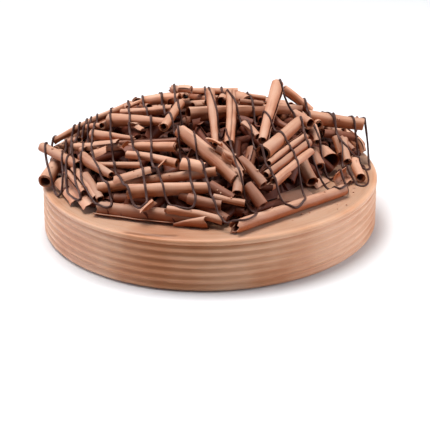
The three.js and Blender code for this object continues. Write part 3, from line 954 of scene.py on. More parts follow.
FAR_CURLS = Scatter(21, 38, 100, 27, (-3, 1), (16, 30), (3.2, 5.8))
FAR_BED = Scatter(33, 36, 102, 15, (-8, -4), (14, 28), (3.0, 4.8))
# The under layers and the curls placed under them are painted darker through pale, as shade deep in
# the heap.
UNDER_CURLS = Scatter(3, -84, 30, 37, (-13, -9.5), (15, 24), (3.4, 4.6), -1.5)
UNDER_BED = Scatter(8, -92, 36, 16, (-19, -13), (9, 20), (2.8, 4.4), -2.0)
PLACED_UNDER = [
    Curl((-66, -72), (-38, -82), (4, 4.2), (-9, -8), pale=-0.6),
    Curl((-20, -84), (12, -100), (4, 4), (-6, -4), pale=-0.6),
]


# ---- Rolled chocolate -----------------------------------------------------------------------


@dataclass(frozen=True)
class Axis:
    """The straight line that a curl is rolled round, with the two directions across it."""

    first: np.ndarray
    along: np.ndarray
    side: np.ndarray
    up: np.ndarray
    length: float

    @classmethod
    def of(cls, curl: Curl) -> "Axis":
        """The axis of a curl.

        Args:
            curl: The curl.

        Returns:
            Its axis.
        """
        first, last = (
            np.array([*place, HEAP.axis_height(*place) + lift])
            for place, lift in zip((curl.start, curl.end), curl.lift)
        )
        length = np.linalg.norm(last - first)
        along = (last - first) / length
        side = np.cross(along, (0, 0, 1))
        side /= np.linalg.norm(side)
        return cls(first, along, side, np.cross(side, along), length)

    def placed(self, reach: np.ndarray, distance: np.ndarray, angle: np.ndarray,
               bend: np.ndarray, sway: np.ndarray) -> np.ndarray:
        """Points round the axis.

        Args:
            reach: How far along the axis each point lies.
            distance: How far from it.
            angle: The angle of each column, from the side towards up.
            bend: How far each row is bent upwards.
            sway: How far each row is bent sideways.

        Returns:
            One point a row.
        """
        point = self.first + reach[..., None] * self.along
        point = point + (distance * np.cos(angle))[..., None] * self.side
        point = point + (distance * np.sin(angle))[..., None] * self.up
        point = point + bend[:, None, None] * self.up + sway[:, None, None] * self.side
        return point.reshape(-1, 3)


@dataclass(frozen=True)
class Sheet:
    """A sheet laid out as a grid before it is rolled.

    u runs from its outer edge to its inner one, v along the axis, both from 0 to 1. angle is
    where each column comes to lie round the axis, walked its distance from the outer edge and
    near_end each row's distance from the nearer end, in millimetres.
    """

    turns: float
    handed: int
    length: float
    u: np.ndarray
    v: np.ndarray
    angle: np.ndarray
    walked: np.ndarray
    near_end: np.ndarray


@dataclass(frozen=True)
class Roller:
    """Rolls a sheet of chocolate into a curl.

    wave_heights and wave_lengths are those of the dents that a stuttering blade leaves along a
    curl. lifted_turn is the part of a turn over which its outer edge stands off, lip_turn the
    same on a curl with a lip. Past covered_turns a sheet lies on itself, and there and inside a
    roll of more than open_turns shade is painted dark from mouth_depth inwards.
    """

    thickness: float = 0.82
    gap: float = 0.12
    edge: float = 0.45
    edge_width: float = 1.2
    end_edge: float = 0.55
    end_width: float = 2.0
    smallest_eye: float = 0.36
    common_turns: Pair = (1.2, 1.75)
    fewest_turns: float = 0.95
    fewest_around: int = 7
    fewest_along: int = 4
    facets: Pair = (5, 8)
    wave_heights: Triple = (0.6, 0.7, 0.9)
    wave_lengths: Triple = (11, 23, 17)
    waviness: float = 0.09
    lifted_edge: float = 0.5
    lifted_turn: float = 0.12
    lip_turn: float = 0.15
    slide: float = 0.5
    bend: Pair = (-0.5, 0.9)
    sway: float = 0.9
    nick_step: float = 1.3
    nick_share: float = 0.45
    tear_step: float = 3.4
    tear_reach: Pair = (-0.8, 0.3)
    tone: Pair = (0.5, 0.22)
    lightest_tone: float = 1.1
    mouth_depth: float = 3.0
    inner_dusk: float = 2.0
    covered_turns: float = 0.95
    open_turns: float = 0.8

    def turns_of(self, curl: Curl, rng: np.random.Generator) -> float:
        """How far a curl is rolled.

        Args:
            curl: The curl.
            rng: Random source.

        Returns:
            As many turns as leave an open eye.
        """
        wanted = curl.turns or rng.uniform(*self.common_turns)
        room = min(curl.radii) * (1 - self.smallest_eye) - self.thickness
        return min(wanted, max(self.fewest_turns, room / (self.thickness + self.gap)))

    def lay_out(self, curl: Curl, layer: Layer, length: float,
                rng: np.random.Generator) -> Sheet:
        """Lays a curl's sheet out as a grid.

        Args:
            curl: The curl.
            layer: How finely it is made.
            length: Its length.
            rng: Random source.

        Returns:
            The sheet.
        """
        turns = self.turns_of(curl, rng)
        handed = 1 if curl.seam is not None else rng.choice((-1, 1))
        seam = math.radians(curl.seam) if curl.seam is not None else rng.uniform(0, TURN)
        count = max(self.fewest_around, round(layer.around * turns)) + 1
        rows = max(self.fewest_along, round(length / layer.spacing)) + 1
        u = np.linspace(0, 1, count)
        v = np.linspace(0, 1, rows)[:, None]
        angle = seam + handed * TURN * turns * u
        walked = TURN * np.mean(curl.radii) * turns * u
        return Sheet(turns, handed, length, u, v, angle, walked, np.minimum(v, 1 - v) * length)

    def outer_side(self, curl: Curl, sheet: Sheet, rng: np.random.Generator) -> np.ndarray:
        """How far the sheet's outer side lies from the axis.

        Args:
            curl: The curl.
            sheet: Its sheet.
            rng: Random source.

        Returns:
            The distance at each point of the grid.
        """
        u, v, angle, length = sheet.u, sheet.v, sheet.angle, sheet.length
        radius = curl.radii[0] + (curl.radii[1] - curl.radii[0]) * v
        facets = rng.uniform(*self.facets)
        phases = rng.uniform(0, TURN, 4)
        heights = self.wave_heights
        near, far, flaring = (length / span * v * TURN for span in self.wave_lengths)
        wave = np.sin(facets * angle + phases[0] + 1.5 * v) * heights[0]
        wave = wave + np.sin(near / 2 + phases[1] + 2 * angle) * heights[1]
        wave = wave + np.sin(far / 2 + phases[2] - angle) * heights[2]
        wound = (self.thickness + self.gap) * sheet.turns * u
        outer = radius - wound + wave * self.waviness * (1 + 0.1 * radius)
        lifted_turn = self.lip_turn if curl.lip else self.lifted_turn
        lifting = np.clip(1 - u * sheet.turns / lifted_turn, 0, 1) ** 2
        flare = 0.5 + 0.5 * np.sin(flaring + phases[3])
        lip = curl.lip * (0.9 + 0.25 * np.sin(9 * v))
        return outer + lifting * (self.lifted_edge * flare + lip)

    def wall(self, sheet: Sheet) -> np.ndarray:
        """The sheet's thickness.

        Args:
            sheet: The sheet.

        Returns:
            Its thickness at each point, drawn out thin towards edges and ends.
        """
        near_edge = (1 - self.edge) * np.minimum(sheet.u, 1 - sheet.u) * sheet.walked[-1]
        thin_edge = np.minimum(1, self.edge + near_edge / self.edge_width)
        near_end = (1 - self.end_edge) * sheet.near_end
        thin_end = np.minimum(1, self.end_edge + near_end / self.end_width)
        return self.thickness * thin_edge * thin_end

    def torn_edge(self, walked: np.ndarray, torn: float,
                  rng: np.random.Generator) -> np.ndarray:
        """How far a torn end stands back.

        Args:
            walked: Places along the end, in millimetres of sheet.
            torn: Strength of the tearing.
            rng: Random source.

        Returns:
            The distance at each place.
        """
        back = np.zeros(len(walked))
        for step, depth in ((self.tear_step, 1.0), (self.nick_step, self.nick_share)):
            knots = np.arange(0, walked[-1] + 2 * step, step)
            back += depth * torn * np.interp(walked, knots, rng.random(len(knots)) ** 1.6)
        return back

    def reach(self, curl: Curl, sheet: Sheet, rng: np.random.Generator) -> np.ndarray:
        """How far along the axis each point lies, between two torn ends.

        Args:
            curl: The curl.
            sheet: Its sheet.
            rng: Random source.

        Returns:
            The distance at each point of the grid.
        """
        slides = rng.uniform(-self.slide, self.slide, 2) * (sheet.turns > 1)
        proudest, deepest = self.tear_reach[0], sheet.length * self.tear_reach[1]
        back = []
        for torn, slide in zip(curl.torn, slides):
            edge = self.torn_edge(sheet.walked, torn, rng)
            edge = edge + slide * sheet.turns * (sheet.u - 0.3)
            back.append(np.clip(edge, proudest, deepest))
        return back[0] + (sheet.length - back[0] - back[1]) * sheet.v

    def faces(self, rows: int, count: int) -> np.ndarray:
        """Faces of both sides of a sheet and of the rim that joins them.

        Args:
            rows: Rows of points along the axis.
            count: Points in a row.

        Returns:
            One face a row.
        """
        total = rows * count
        first_column, first_row = np.arange(rows) * count, np.arange(count)
        return np.concatenate([
            lattice(rows, count),
            lattice(rows, count, total)[:, ::-1],
            self.rim(first_column, total)[:, ::-1],
            self.rim(first_column + count - 1, total),
            self.rim(first_row, total),
            self.rim(first_row + total - count, total)[:, ::-1],
        ])

    @staticmethod
    def rim(line: np.ndarray, step: int) -> np.ndarray:
        """Faces that join a line of points to the same line on the sheet's other side."""
        return np.stack([line[:-1], line[1:], line[1:] + step, line[:-1] + step], 1)

    def stored(self, curl: Curl, sheet: Sheet, reach: np.ndarray,
               rng: np.random.Generator) -> np.ndarray:
        """What the finish reads at each point of both sides: along, around, tone.

        Args:
            curl: The curl.
            sheet: Its sheet.
            reach: How far along the axis each point lies.
            rng: Random source.

        Returns:
            A vector for each point, its tone dark where the roll hides it from light.
        """
        tone = float(np.clip(rng.normal(*self.tone), 0, self.lightest_tone)) + curl.pale
        deep = np.broadcast_to(np.clip(sheet.near_end / self.mouth_depth, 0, 1), reach.shape)
        covered = np.clip((sheet.turns * sheet.u - self.covered_turns) / 0.1, 0, 1) * deep
        within = deep * (sheet.turns > self.open_turns)
        around = np.broadcast_to(sheet.walked, reach.shape).ravel()
        return np.concatenate([
            np.stack([reach.ravel(), around, (tone - self.inner_dusk * dark).ravel()], 1)
            for dark in (covered, within)
        ])

    def roll(self, curl: Curl, layer: Layer, rng: np.random.Generator, into: Patchwork) -> None:
        """Rolls one curl and adds it.

        Args:
            curl: The curl.
            layer: How finely it is made.
            rng: Random source.
            into: The mesh it goes into.
        """
        axis = Axis.of(curl)
        sheet = self.lay_out(curl, layer, axis.length, rng)
        outer = self.outer_side(curl, sheet, rng)
        inner = outer - self.wall(sheet)
        reach = self.reach(curl, sheet, rng)
        arc = np.sin(math.pi * sheet.v[:, 0])
        bend = rng.uniform(*self.bend) * arc
        sway = rng.uniform(-self.sway, self.sway) * arc
        points = np.concatenate([
            axis.placed(reach, distance, sheet.angle, bend, sway) for distance in (outer, inner)
        ])
        faces = self.faces(*reach.shape)
        if sheet.handed < 0:
            faces = faces[:, ::-1]
        into.add(points, faces, self.stored(curl, sheet, reach, rng))


# ---- The heap's pieces ----------------------------------------------------------------------


@dataclass
class CurlHeap:
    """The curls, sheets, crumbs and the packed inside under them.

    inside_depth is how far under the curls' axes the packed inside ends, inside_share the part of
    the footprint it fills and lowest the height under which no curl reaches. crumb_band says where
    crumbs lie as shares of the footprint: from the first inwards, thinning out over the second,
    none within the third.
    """

    roller: Roller = field(default_factory=Roller)
    finish: ChocolateFinish = field(default_factory=ChocolateFinish)
    # The packed inside is coloured far darker than the curls: painted shade deep in the heap.
    inside_finish: ChocolateFinish = field(
        default_factory=lambda: ChocolateFinish(
            "packed_chocolate_painted_shade", linear(84, 42, 30), linear(104, 56, 42), linear(58, 26, 19)
        )
    )
    inside_depth: float = 22.0
    inside_share: float = 0.93
    inside_foot: float = 37.9
    inside_rings: int = 40
    inside_sides: int = 150
    inside_roughness: float = 1.6
    inside_tone: float = 0.4
    inside_seed: int = 17
    lowest: float = 38.7
    scrap_count: int = 80
    scrap_half_length: Pair = (3, 9)
    scrap_radius: Pair = (3, 8)
    scrap_depth: Pair = (-15, -9)
    scrap_area: tuple[Pair, Pair] = ((-112, 112), (-92, 98))
    scrap_tilt: float = 3.0
    scrap_turns: Pair = (0.12, 0.4)
    # Scraps sunk in the gaps are painted darker through their pale, as shade.
    scrap_painted_shade: float = -1.2
    scrap_seed: int = 41
    crumb_count: int = 170
    crumb_reach: float = 119.0
    crumb_band: Triple = (1.05, 0.16, 0.3)
    crumb_rise: float = 0.35
    crumb_size: Pair = (0.35, 1.1)
    coarse_size: Pair = (1.1, 1.9)
    fine_share: float = 0.8
    crumb_seed: int = 77

    def build(self) -> BVHTree:
        """Builds every piece of the heap.

        Returns:
            All that the drizzle can lie on.
        """
        chocolate = self.finish.make()
        packed = self.inside_finish.make()
        support = Patchwork()
        deepest = PLACED_UNDER + UNDER_CURLS.curls() + UNDER_BED.curls()
        groups = {
            "left_curls": (LEFT_CURLS, Layer.SHOWN, 101),
            "front_curls": (FRONT_CURLS, Layer.SHOWN, 102),
            "middle_curls": (MIDDLE_CURLS, Layer.SHOWN, 103),
            "right_curls": (RIGHT_CURLS, Layer.SHOWN, 104),
            "back_curls": (BACK_CURLS + FAR_CURLS.curls(), Layer.FAR, 105),
            "far_bed_curls": (FAR_BED.curls(), Layer.FAR, 106),
            "under_curls": (deepest, Layer.UNDER, 107),
            "broken_sheets": (SHEETS, Layer.SHOWN, 108),
            "scraps": (self.scraps(), Layer.FAR, 109),
        }
        for name, (curls, layer, seed) in groups.items():
            self.add_group(name, curls, layer, seed, chocolate, support)
        inside = self.packed_inside()
        self.hand_over(inside.mesh("packed_inside", "roll", packed))
        support.add(inside.points[0], inside.faces[0], inside.stored[0])
        crumbs = self.crumbs(support.tree())
        self.hand_over(crumbs.mesh("crumbs", "roll", chocolate, sharp=20.0))
        return support.tree()

    def add_group(self, name: str, curls: list[Curl], layer: Layer, seed: int,
                  chocolate: bpy.types.Material, support: Patchwork) -> None:
        """Rolls one group of curls.

        Args:
            name: Its piece's name.
            curls: Its curls.
            layer: How finely they are made.
            seed: Seed of its random draws.
            chocolate: Its material.
            support: Takes a copy of the curls for the drizzle to lie on.
        """
        group = Patchwork()
        for number, curl in enumerate(curls):
            rng = np.random.default_rng([seed, number])
            self.roller.roll(curl, layer, rng, group)
        start = 0
        for points, faces, stored in zip(group.points, group.faces, group.stored):
            points[:, 2] = np.maximum(points[:, 2], self.lowest)
            support.add(points, faces - start, stored)
            start += len(points)
        self.hand_over(group.mesh(name, "roll", chocolate))

    @staticmethod
    def hand_over(piece: bpy.types.Object) -> None:
        """Lets a piece stand for the solid heap.

        Args:
            piece: The piece.
        """
        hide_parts("curl_heap")
        report(piece)

    def scraps(self) -> list[Curl]:
        """Strews small broken sheets into the gaps between the curls.

        Returns:
            The sheets, each a little rolled.
        """
        rng = np.random.default_rng(self.scrap_seed)
        made = []
        while len(made) < self.scrap_count:
            x, y = (rng.uniform(*limits) for limits in self.scrap_area)
            if HEAP.inside(x, y) < 0.1 or HEAP.hollow(x, y) > 0.1:
                continue
            bearing = rng.uniform(0, TURN)
            half = rng.uniform(*self.scrap_half_length)
            dx, dy = half * math.cos(bearing), half * math.sin(bearing)
            radius = rng.uniform(*self.scrap_radius)
            sunk = rng.uniform(*self.scrap_depth)
            radii = (radius, radius * rng.uniform(0.8, 1.2))
            lift = tuple(sunk + rng.uniform(-self.scrap_tilt, self.scrap_tilt) for _ in radii)
            made.append(Curl(
                (x - dx, y - dy), (x + dx, y + dy), radii, lift,
                turns=rng.uniform(*self.scrap_turns), seam=rng.uniform(0, 200),
                torn=(1.8, 1.8), pale=self.scrap_painted_shade,
            ))
        return made

    def inside_height(self, x: float, y: float) -> float:
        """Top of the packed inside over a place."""
        return max(self.inside_foot, HEAP.axis_height(x, y) - self.inside_depth)

    def packed_inside(self) -> Patchwork:
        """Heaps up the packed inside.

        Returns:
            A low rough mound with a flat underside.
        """
        rng = np.random.default_rng(self.inside_seed)
        rings, sides = self.inside_rings, self.inside_sides
        foot = self.inside_foot - 1
        points = [[0.0, HEAP.centre_y, foot]]
        angle = np.arange(sides) / sides * TURN
        for ring in range(rings + 1):
            share = self.inside_share * (1 - ring / (rings + 1))
            for turn in angle:
                x = HEAP.half_width * share * math.cos(turn)
                y = HEAP.centre_y + HEAP.half_depth * share * math.sin(turn)
                rough = self.inside_roughness * rng.random()
                level = self.inside_height(x, y)
                if level > self.inside_foot:
                    level += rough
                points.append([x, y, level if ring else foot])
        points.append([0.0, HEAP.centre_y, self.inside_height(0, HEAP.centre_y)])
        spots = np.array(points)
        tone = np.full(len(spots), self.inside_tone)
        made = Patchwork()
        made.add(spots, lattice(rings + 1, sides, 1, closed=True),
                 np.stack([spots[:, 0], spots[:, 1], tone], 1))
        made.faces.append(fan(0, 1, sides, onward=False))
        made.faces.append(fan(len(spots) - 1, 1 + rings * sides, sides, onward=True))
        return made

    def crumbs(self, ground: BVHTree) -> Patchwork:
        """Crumbs and blade shavings, strewn over the heap's foot and its curls.

        Args:
            ground: What they lie on.

        Returns:
            The crumbs.
        """
        rng = np.random.default_rng(self.crumb_seed)
        outermost, spread, innermost = self.crumb_band
        made = Patchwork()
        while len(made.points) < self.crumb_count:
            turn = rng.uniform(0, TURN)
            share = outermost - abs(rng.normal(0, spread))
            x = HEAP.half_width * share * math.cos(turn)
            y = HEAP.centre_y + HEAP.half_depth * share * math.sin(turn)
            if math.hypot(x, y) > self.crumb_reach or share < innermost:
                continue
            hit = ground.ray_cast(Vector((x, y, SKY)), DOWN)[0]
            floor = max(hit.z if hit else 0, HEAP.icing_top)
            sizes = self.crumb_size if rng.random() < self.fine_share else self.coarse_size
            size = rng.uniform(*sizes)
            centre = np.array([x, y, floor + size * self.crumb_rise])
            self.add_crumb(made, centre, size, rng)
        return made

    @staticmethod
    def add_crumb(into: Patchwork, centre: np.ndarray, size: float,
                  rng: np.random.Generator) -> None:
        """Adds one angular crumb.

        Args:
            into: The mesh it goes into.
            centre: Its middle.
            size: Its half size.
            rng: Random source.
        """
        corners = np.array([[1, 0, 0], [-1, 0, 0], [0, 1, 0],
                            [0, -1, 0], [0, 0, 1], [0, 0, -1.0]])
        spin = np.linalg.qr(rng.normal(size=(3, 3)))[0]
        shape = corners * rng.uniform(0.5, 1.0, (6, 1)) * size @ spin
        shape[:, 2] *= 0.7
        faces = np.array([[0, 2, 4], [2, 1, 4], [1, 3, 4], [3, 0, 4],
                          [2, 0, 5], [1, 2, 5], [3, 1, 5], [0, 3, 5]])
        if np.linalg.det(spin) < 0:
            faces = faces[:, ::-1]
        stored = np.stack([shape[:, 0], shape[:, 1], np.full(6, rng.uniform(0.2, 0.9))], 1)
        into.add(shape + centre, faces, stored)


# ---- The drizzle ----------------------------------------------------------------------------


@dataclass
class Drizzle:
    """Dark chocolate trailed to and fro over the heap in one run.

    bend is how sharply it hangs between two crests, rounds how long it is let down for, and
    loops are the places it passes, from the back over the front and to the back again.
    """

    finish: DrizzleFinish = field(default_factory=DrizzleFinish)
    radius: float = 0.66
    step: float = 0.9
    sides: int = 10
    bend: float = 0.22
    wander: float = 0.7
    rounds: int = 1500
    sunk: float = 0.25
    flatness: float = 0.92
    fineness: int = 60
    drift_steps: int = 12
    drift_seed: int = 12
    swell: Pair = (0.82, 1.2)
    swell_steps: int = 14
    swell_seed: int = 9
    bend_swell: float = 2.2
    most_bend_swell: float = 0.35
    tip_steps: float = 2.5
    turn_reach: float = 82.0
    loops: tuple[tuple[Plan, ...], ...] = (
        ((-100, 34), (-116, 22), (-121, 0), (-118, -18), (-115, -32), (-111, -41), (-107, -47),
         (-105, -40), (-107, -25), (-106, 5), (-99, 34)),
        ((-94, 36), (-101, 6), (-101, -10), (-97, -40), (-95, -54), (-91, -67), (-97, -60),
         (-102, -47), (-101, -20), (-90, 34)),
        ((-87, 36), (-92, -21), (-91, -43), (-88, -61), (-81, -75), (-74, -82), (-68, -82),
         (-70, -70), (-78, -56), (-84, -27), (-84, 32)),
        ((-74, 34), (-70, -26), (-65, -61), (-57, -80), (-50, -90), (-43, -93), (-44, -80),
         (-47, -65), (-55, -34), (-60, 30)),
        ((-50, 34), (-42, -16), (-40, -61), (-34, -76), (-30, -89), (-21, -98), (-13, -100),
         (-9, -94), (-13, -80), (-25, -29), (-32, -4), (-36, 34)),
        ((-26, 36), (-21, -6), (-12, -32), (-8, -62), (-3, -80), (3, -97), (9, -108), (19, -114),
         (30, -107), (31, -97), (25, -90), (17, -67), (11, -33), (6, -14), (-2, 38)),
        ((11, 38), (23, -5), (31, -41), (38, -61), (43, -74), (50, -85), (59, -86), (66, -77),
         (64, -66), (56, -46), (42, -22), (33, 11), (30, 38)),
        ((50, 38), (55, 8), (64, 6), (68, -19), (71, -38), (77, -43), (85, -50), (92, -58),
         (99, -45), (96, -32), (84, -14), (72, 34)),
        ((82, 34), (94, 16), (99, -2), (99, -20), (105, -31), (111, -35), (117, -24), (116, 4),
         (109, -5), (98, 2), (94, 30)),
        ((104, 34), (111, 14), (115, 0), (118, -4), (121, 4), (119, 20), (110, 34)),
    )

    def build(self, ground: BVHTree) -> None:
        """Trails the drizzle over what lies under it.

        Args:
            ground: The heap.
        """
        places = self.plan()
        height = self.settle(self.floor_under(places, ground))
        line = np.column_stack([places, height])
        piece = self.tube(line).mesh("drizzle", "roll", self.finish.make())
        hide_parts("curl_heap")
        report(piece)

    def plan(self) -> np.ndarray:
        """The run as seen from above.

        Returns:
            Places at even steps along the run.
        """
        chain: list[Plan] = []
        for number, loop in enumerate(self.loops):
            if number:
                chain += self.turn_behind(self.loops[number - 1][-1][0], loop[0][0])
            chain += loop
        line = self.smoothed(np.array([chain[0], *chain, chain[-1]], float))
        walked = np.concatenate([[0], np.cumsum(np.linalg.norm(np.diff(line, axis=0), axis=1))])
        even = np.arange(0, walked[-1], self.step)
        rng = np.random.default_rng(self.drift_seed)
        drift = rng.uniform(-self.wander, self.wander, (len(even) // self.drift_steps + 2, 2))
        knots = np.arange(len(drift)) * self.drift_steps
        number = np.arange(len(even))
        return np.column_stack([
            np.interp(even, walked, line[:, k]) + np.interp(number, knots, drift[:, k])
            for k in (0, 1)
        ])

    def smoothed(self, points: np.ndarray) -> np.ndarray:
        """A smooth line through points.

        Args:
            points: The points; the first and the last only steer the line.

        Returns:
            Places close together along the line.
        """
        t = np.linspace(0, 1, self.fineness, endpoint=False)[:, None]
        fine = []
        for i in range(1, len(points) - 2):
            p = points[i - 1:i + 3]
            square = 2 * p[0] - 5 * p[1] + 4 * p[2] - p[3]
            cube = 3 * p[1] - p[0] - 3 * p[2] + p[3]
            fine.append(0.5 * (2 * p[1] + (p[2] - p[0]) * t + square * t**2 + cube * t**3))
        return np.concatenate([*fine, points[-1:]])

    def turn_behind(self, left: float, right: float) -> list[Plan]:
        """The turn behind the heap between two loops.

        Args:
            left: Where the loop on the left ends.
            right: Where the loop on the right begins.

        Returns:
            Places that the turn passes.
        """
        middle = (left + right) / 2
        room = math.sqrt(HEAP.inside(middle, HEAP.centre_y))
        back = HEAP.centre_y + self.turn_reach * room
        return [(left - 2, back - 8), (middle, back), (right + 2, back - 8)]

    def floor_under(self, places: np.ndarray, ground: BVHTree) -> np.ndarray:
        """How high the drizzle's middle must lie over each place.

        Args:
            places: The run as seen from above.
            ground: The heap.

        Returns:
            The lowest height at each place, felt for under its middle and both its flanks.
        """
        ahead = np.gradient(places, axis=0)
        ahead /= np.linalg.norm(ahead, axis=1)[:, None]
        across = np.column_stack([-ahead[:, 1], ahead[:, 0]])
        floor = np.full(len(places), HEAP.icing_top)
        for shift, rise in ((0, 1.0), (-0.6, 0.75), (0.6, 0.75)):
            for i, (x, y) in enumerate(places + across * shift * self.radius):
                hit = ground.ray_cast(Vector((x, y, SKY)), DOWN)[0]
                if hit:
                    floor[i] = max(floor[i], hit.z + self.radius * (rise - 1))
        return floor + self.radius - self.sunk

    def settle(self, floor: np.ndarray) -> np.ndarray:
        """Lets the run hang from crest to crest.

        Args:
            floor: Lowest height at each step.

        Returns:
            Height at each step.
        """
        height = floor.copy()
        dip = self.bend * self.step**2 / 2
        for _ in range(self.rounds):
            hung = (height[:-2] + height[2:]) / 2 - dip
            height[1:-1] = np.maximum(floor[1:-1], hung)
        return height

    def tube(self, line: np.ndarray) -> Patchwork:
        """The run as a closed uneven tube.

        Args:
            line: Its middle line.

        Returns:
            The tube.
        """
        rng = np.random.default_rng(self.swell_seed)
        count, sides = len(line), self.sides
        ahead = np.gradient(line, axis=0)
        ahead /= np.linalg.norm(ahead, axis=1)[:, None]
        side = np.cross(ahead, (0, 0, 1))
        side /= np.linalg.norm(side, axis=1)[:, None]
        up = np.cross(side, ahead)
        number = np.arange(count)
        knots = np.arange(0, count + 20, self.swell_steps)
        swell = np.interp(number, knots, rng.uniform(*self.swell, len(knots)))
        turning = np.linalg.norm(np.gradient(ahead, axis=0), axis=1) / self.step
        pooled = np.convolve(turning, np.ones(9) / 9, "same") * self.bend_swell
        swell += np.clip(pooled, 0, self.most_bend_swell)
        tip = np.minimum(number, number[::-1]) / self.tip_steps
        swell *= np.sqrt(np.clip(tip + 0.05, 0.05, 1))
        angle = np.arange(sides) / sides * TURN
        reach = self.radius * swell[:, None, None]
        across = reach * np.cos(angle)[None, :, None] * side[:, None]
        over = reach * self.flatness * np.sin(angle)[None, :, None] * up[:, None]
        points = (line[:, None] + across + over).reshape(-1, 3)
        points = np.concatenate([points, line[:1], line[-1:]])
        walk = np.repeat(number * self.step, sides)
        stored = np.column_stack([walk, np.zeros_like(walk), np.full_like(walk, 0.5)])
        stored = np.concatenate([stored, [[0, 0, 0.5]] * 2])
        made = Patchwork()
        made.add(points, lattice(count, sides, 0, closed=True), stored)
        made.faces.append(fan(count * sides, 0, sides, onward=False))
        made.faces.append(fan(count * sides + 1, (count - 1) * sides, sides, onward=True))
        return made


# ---- The iced cake --------------------------------------------------------------------------


@dataclass(frozen=True)
class Ledge:
    """A step that the spatula left on the top: its radius, its two ends in degrees, its drop."""

    radius: float
    start: float
    end: float
    drop: float


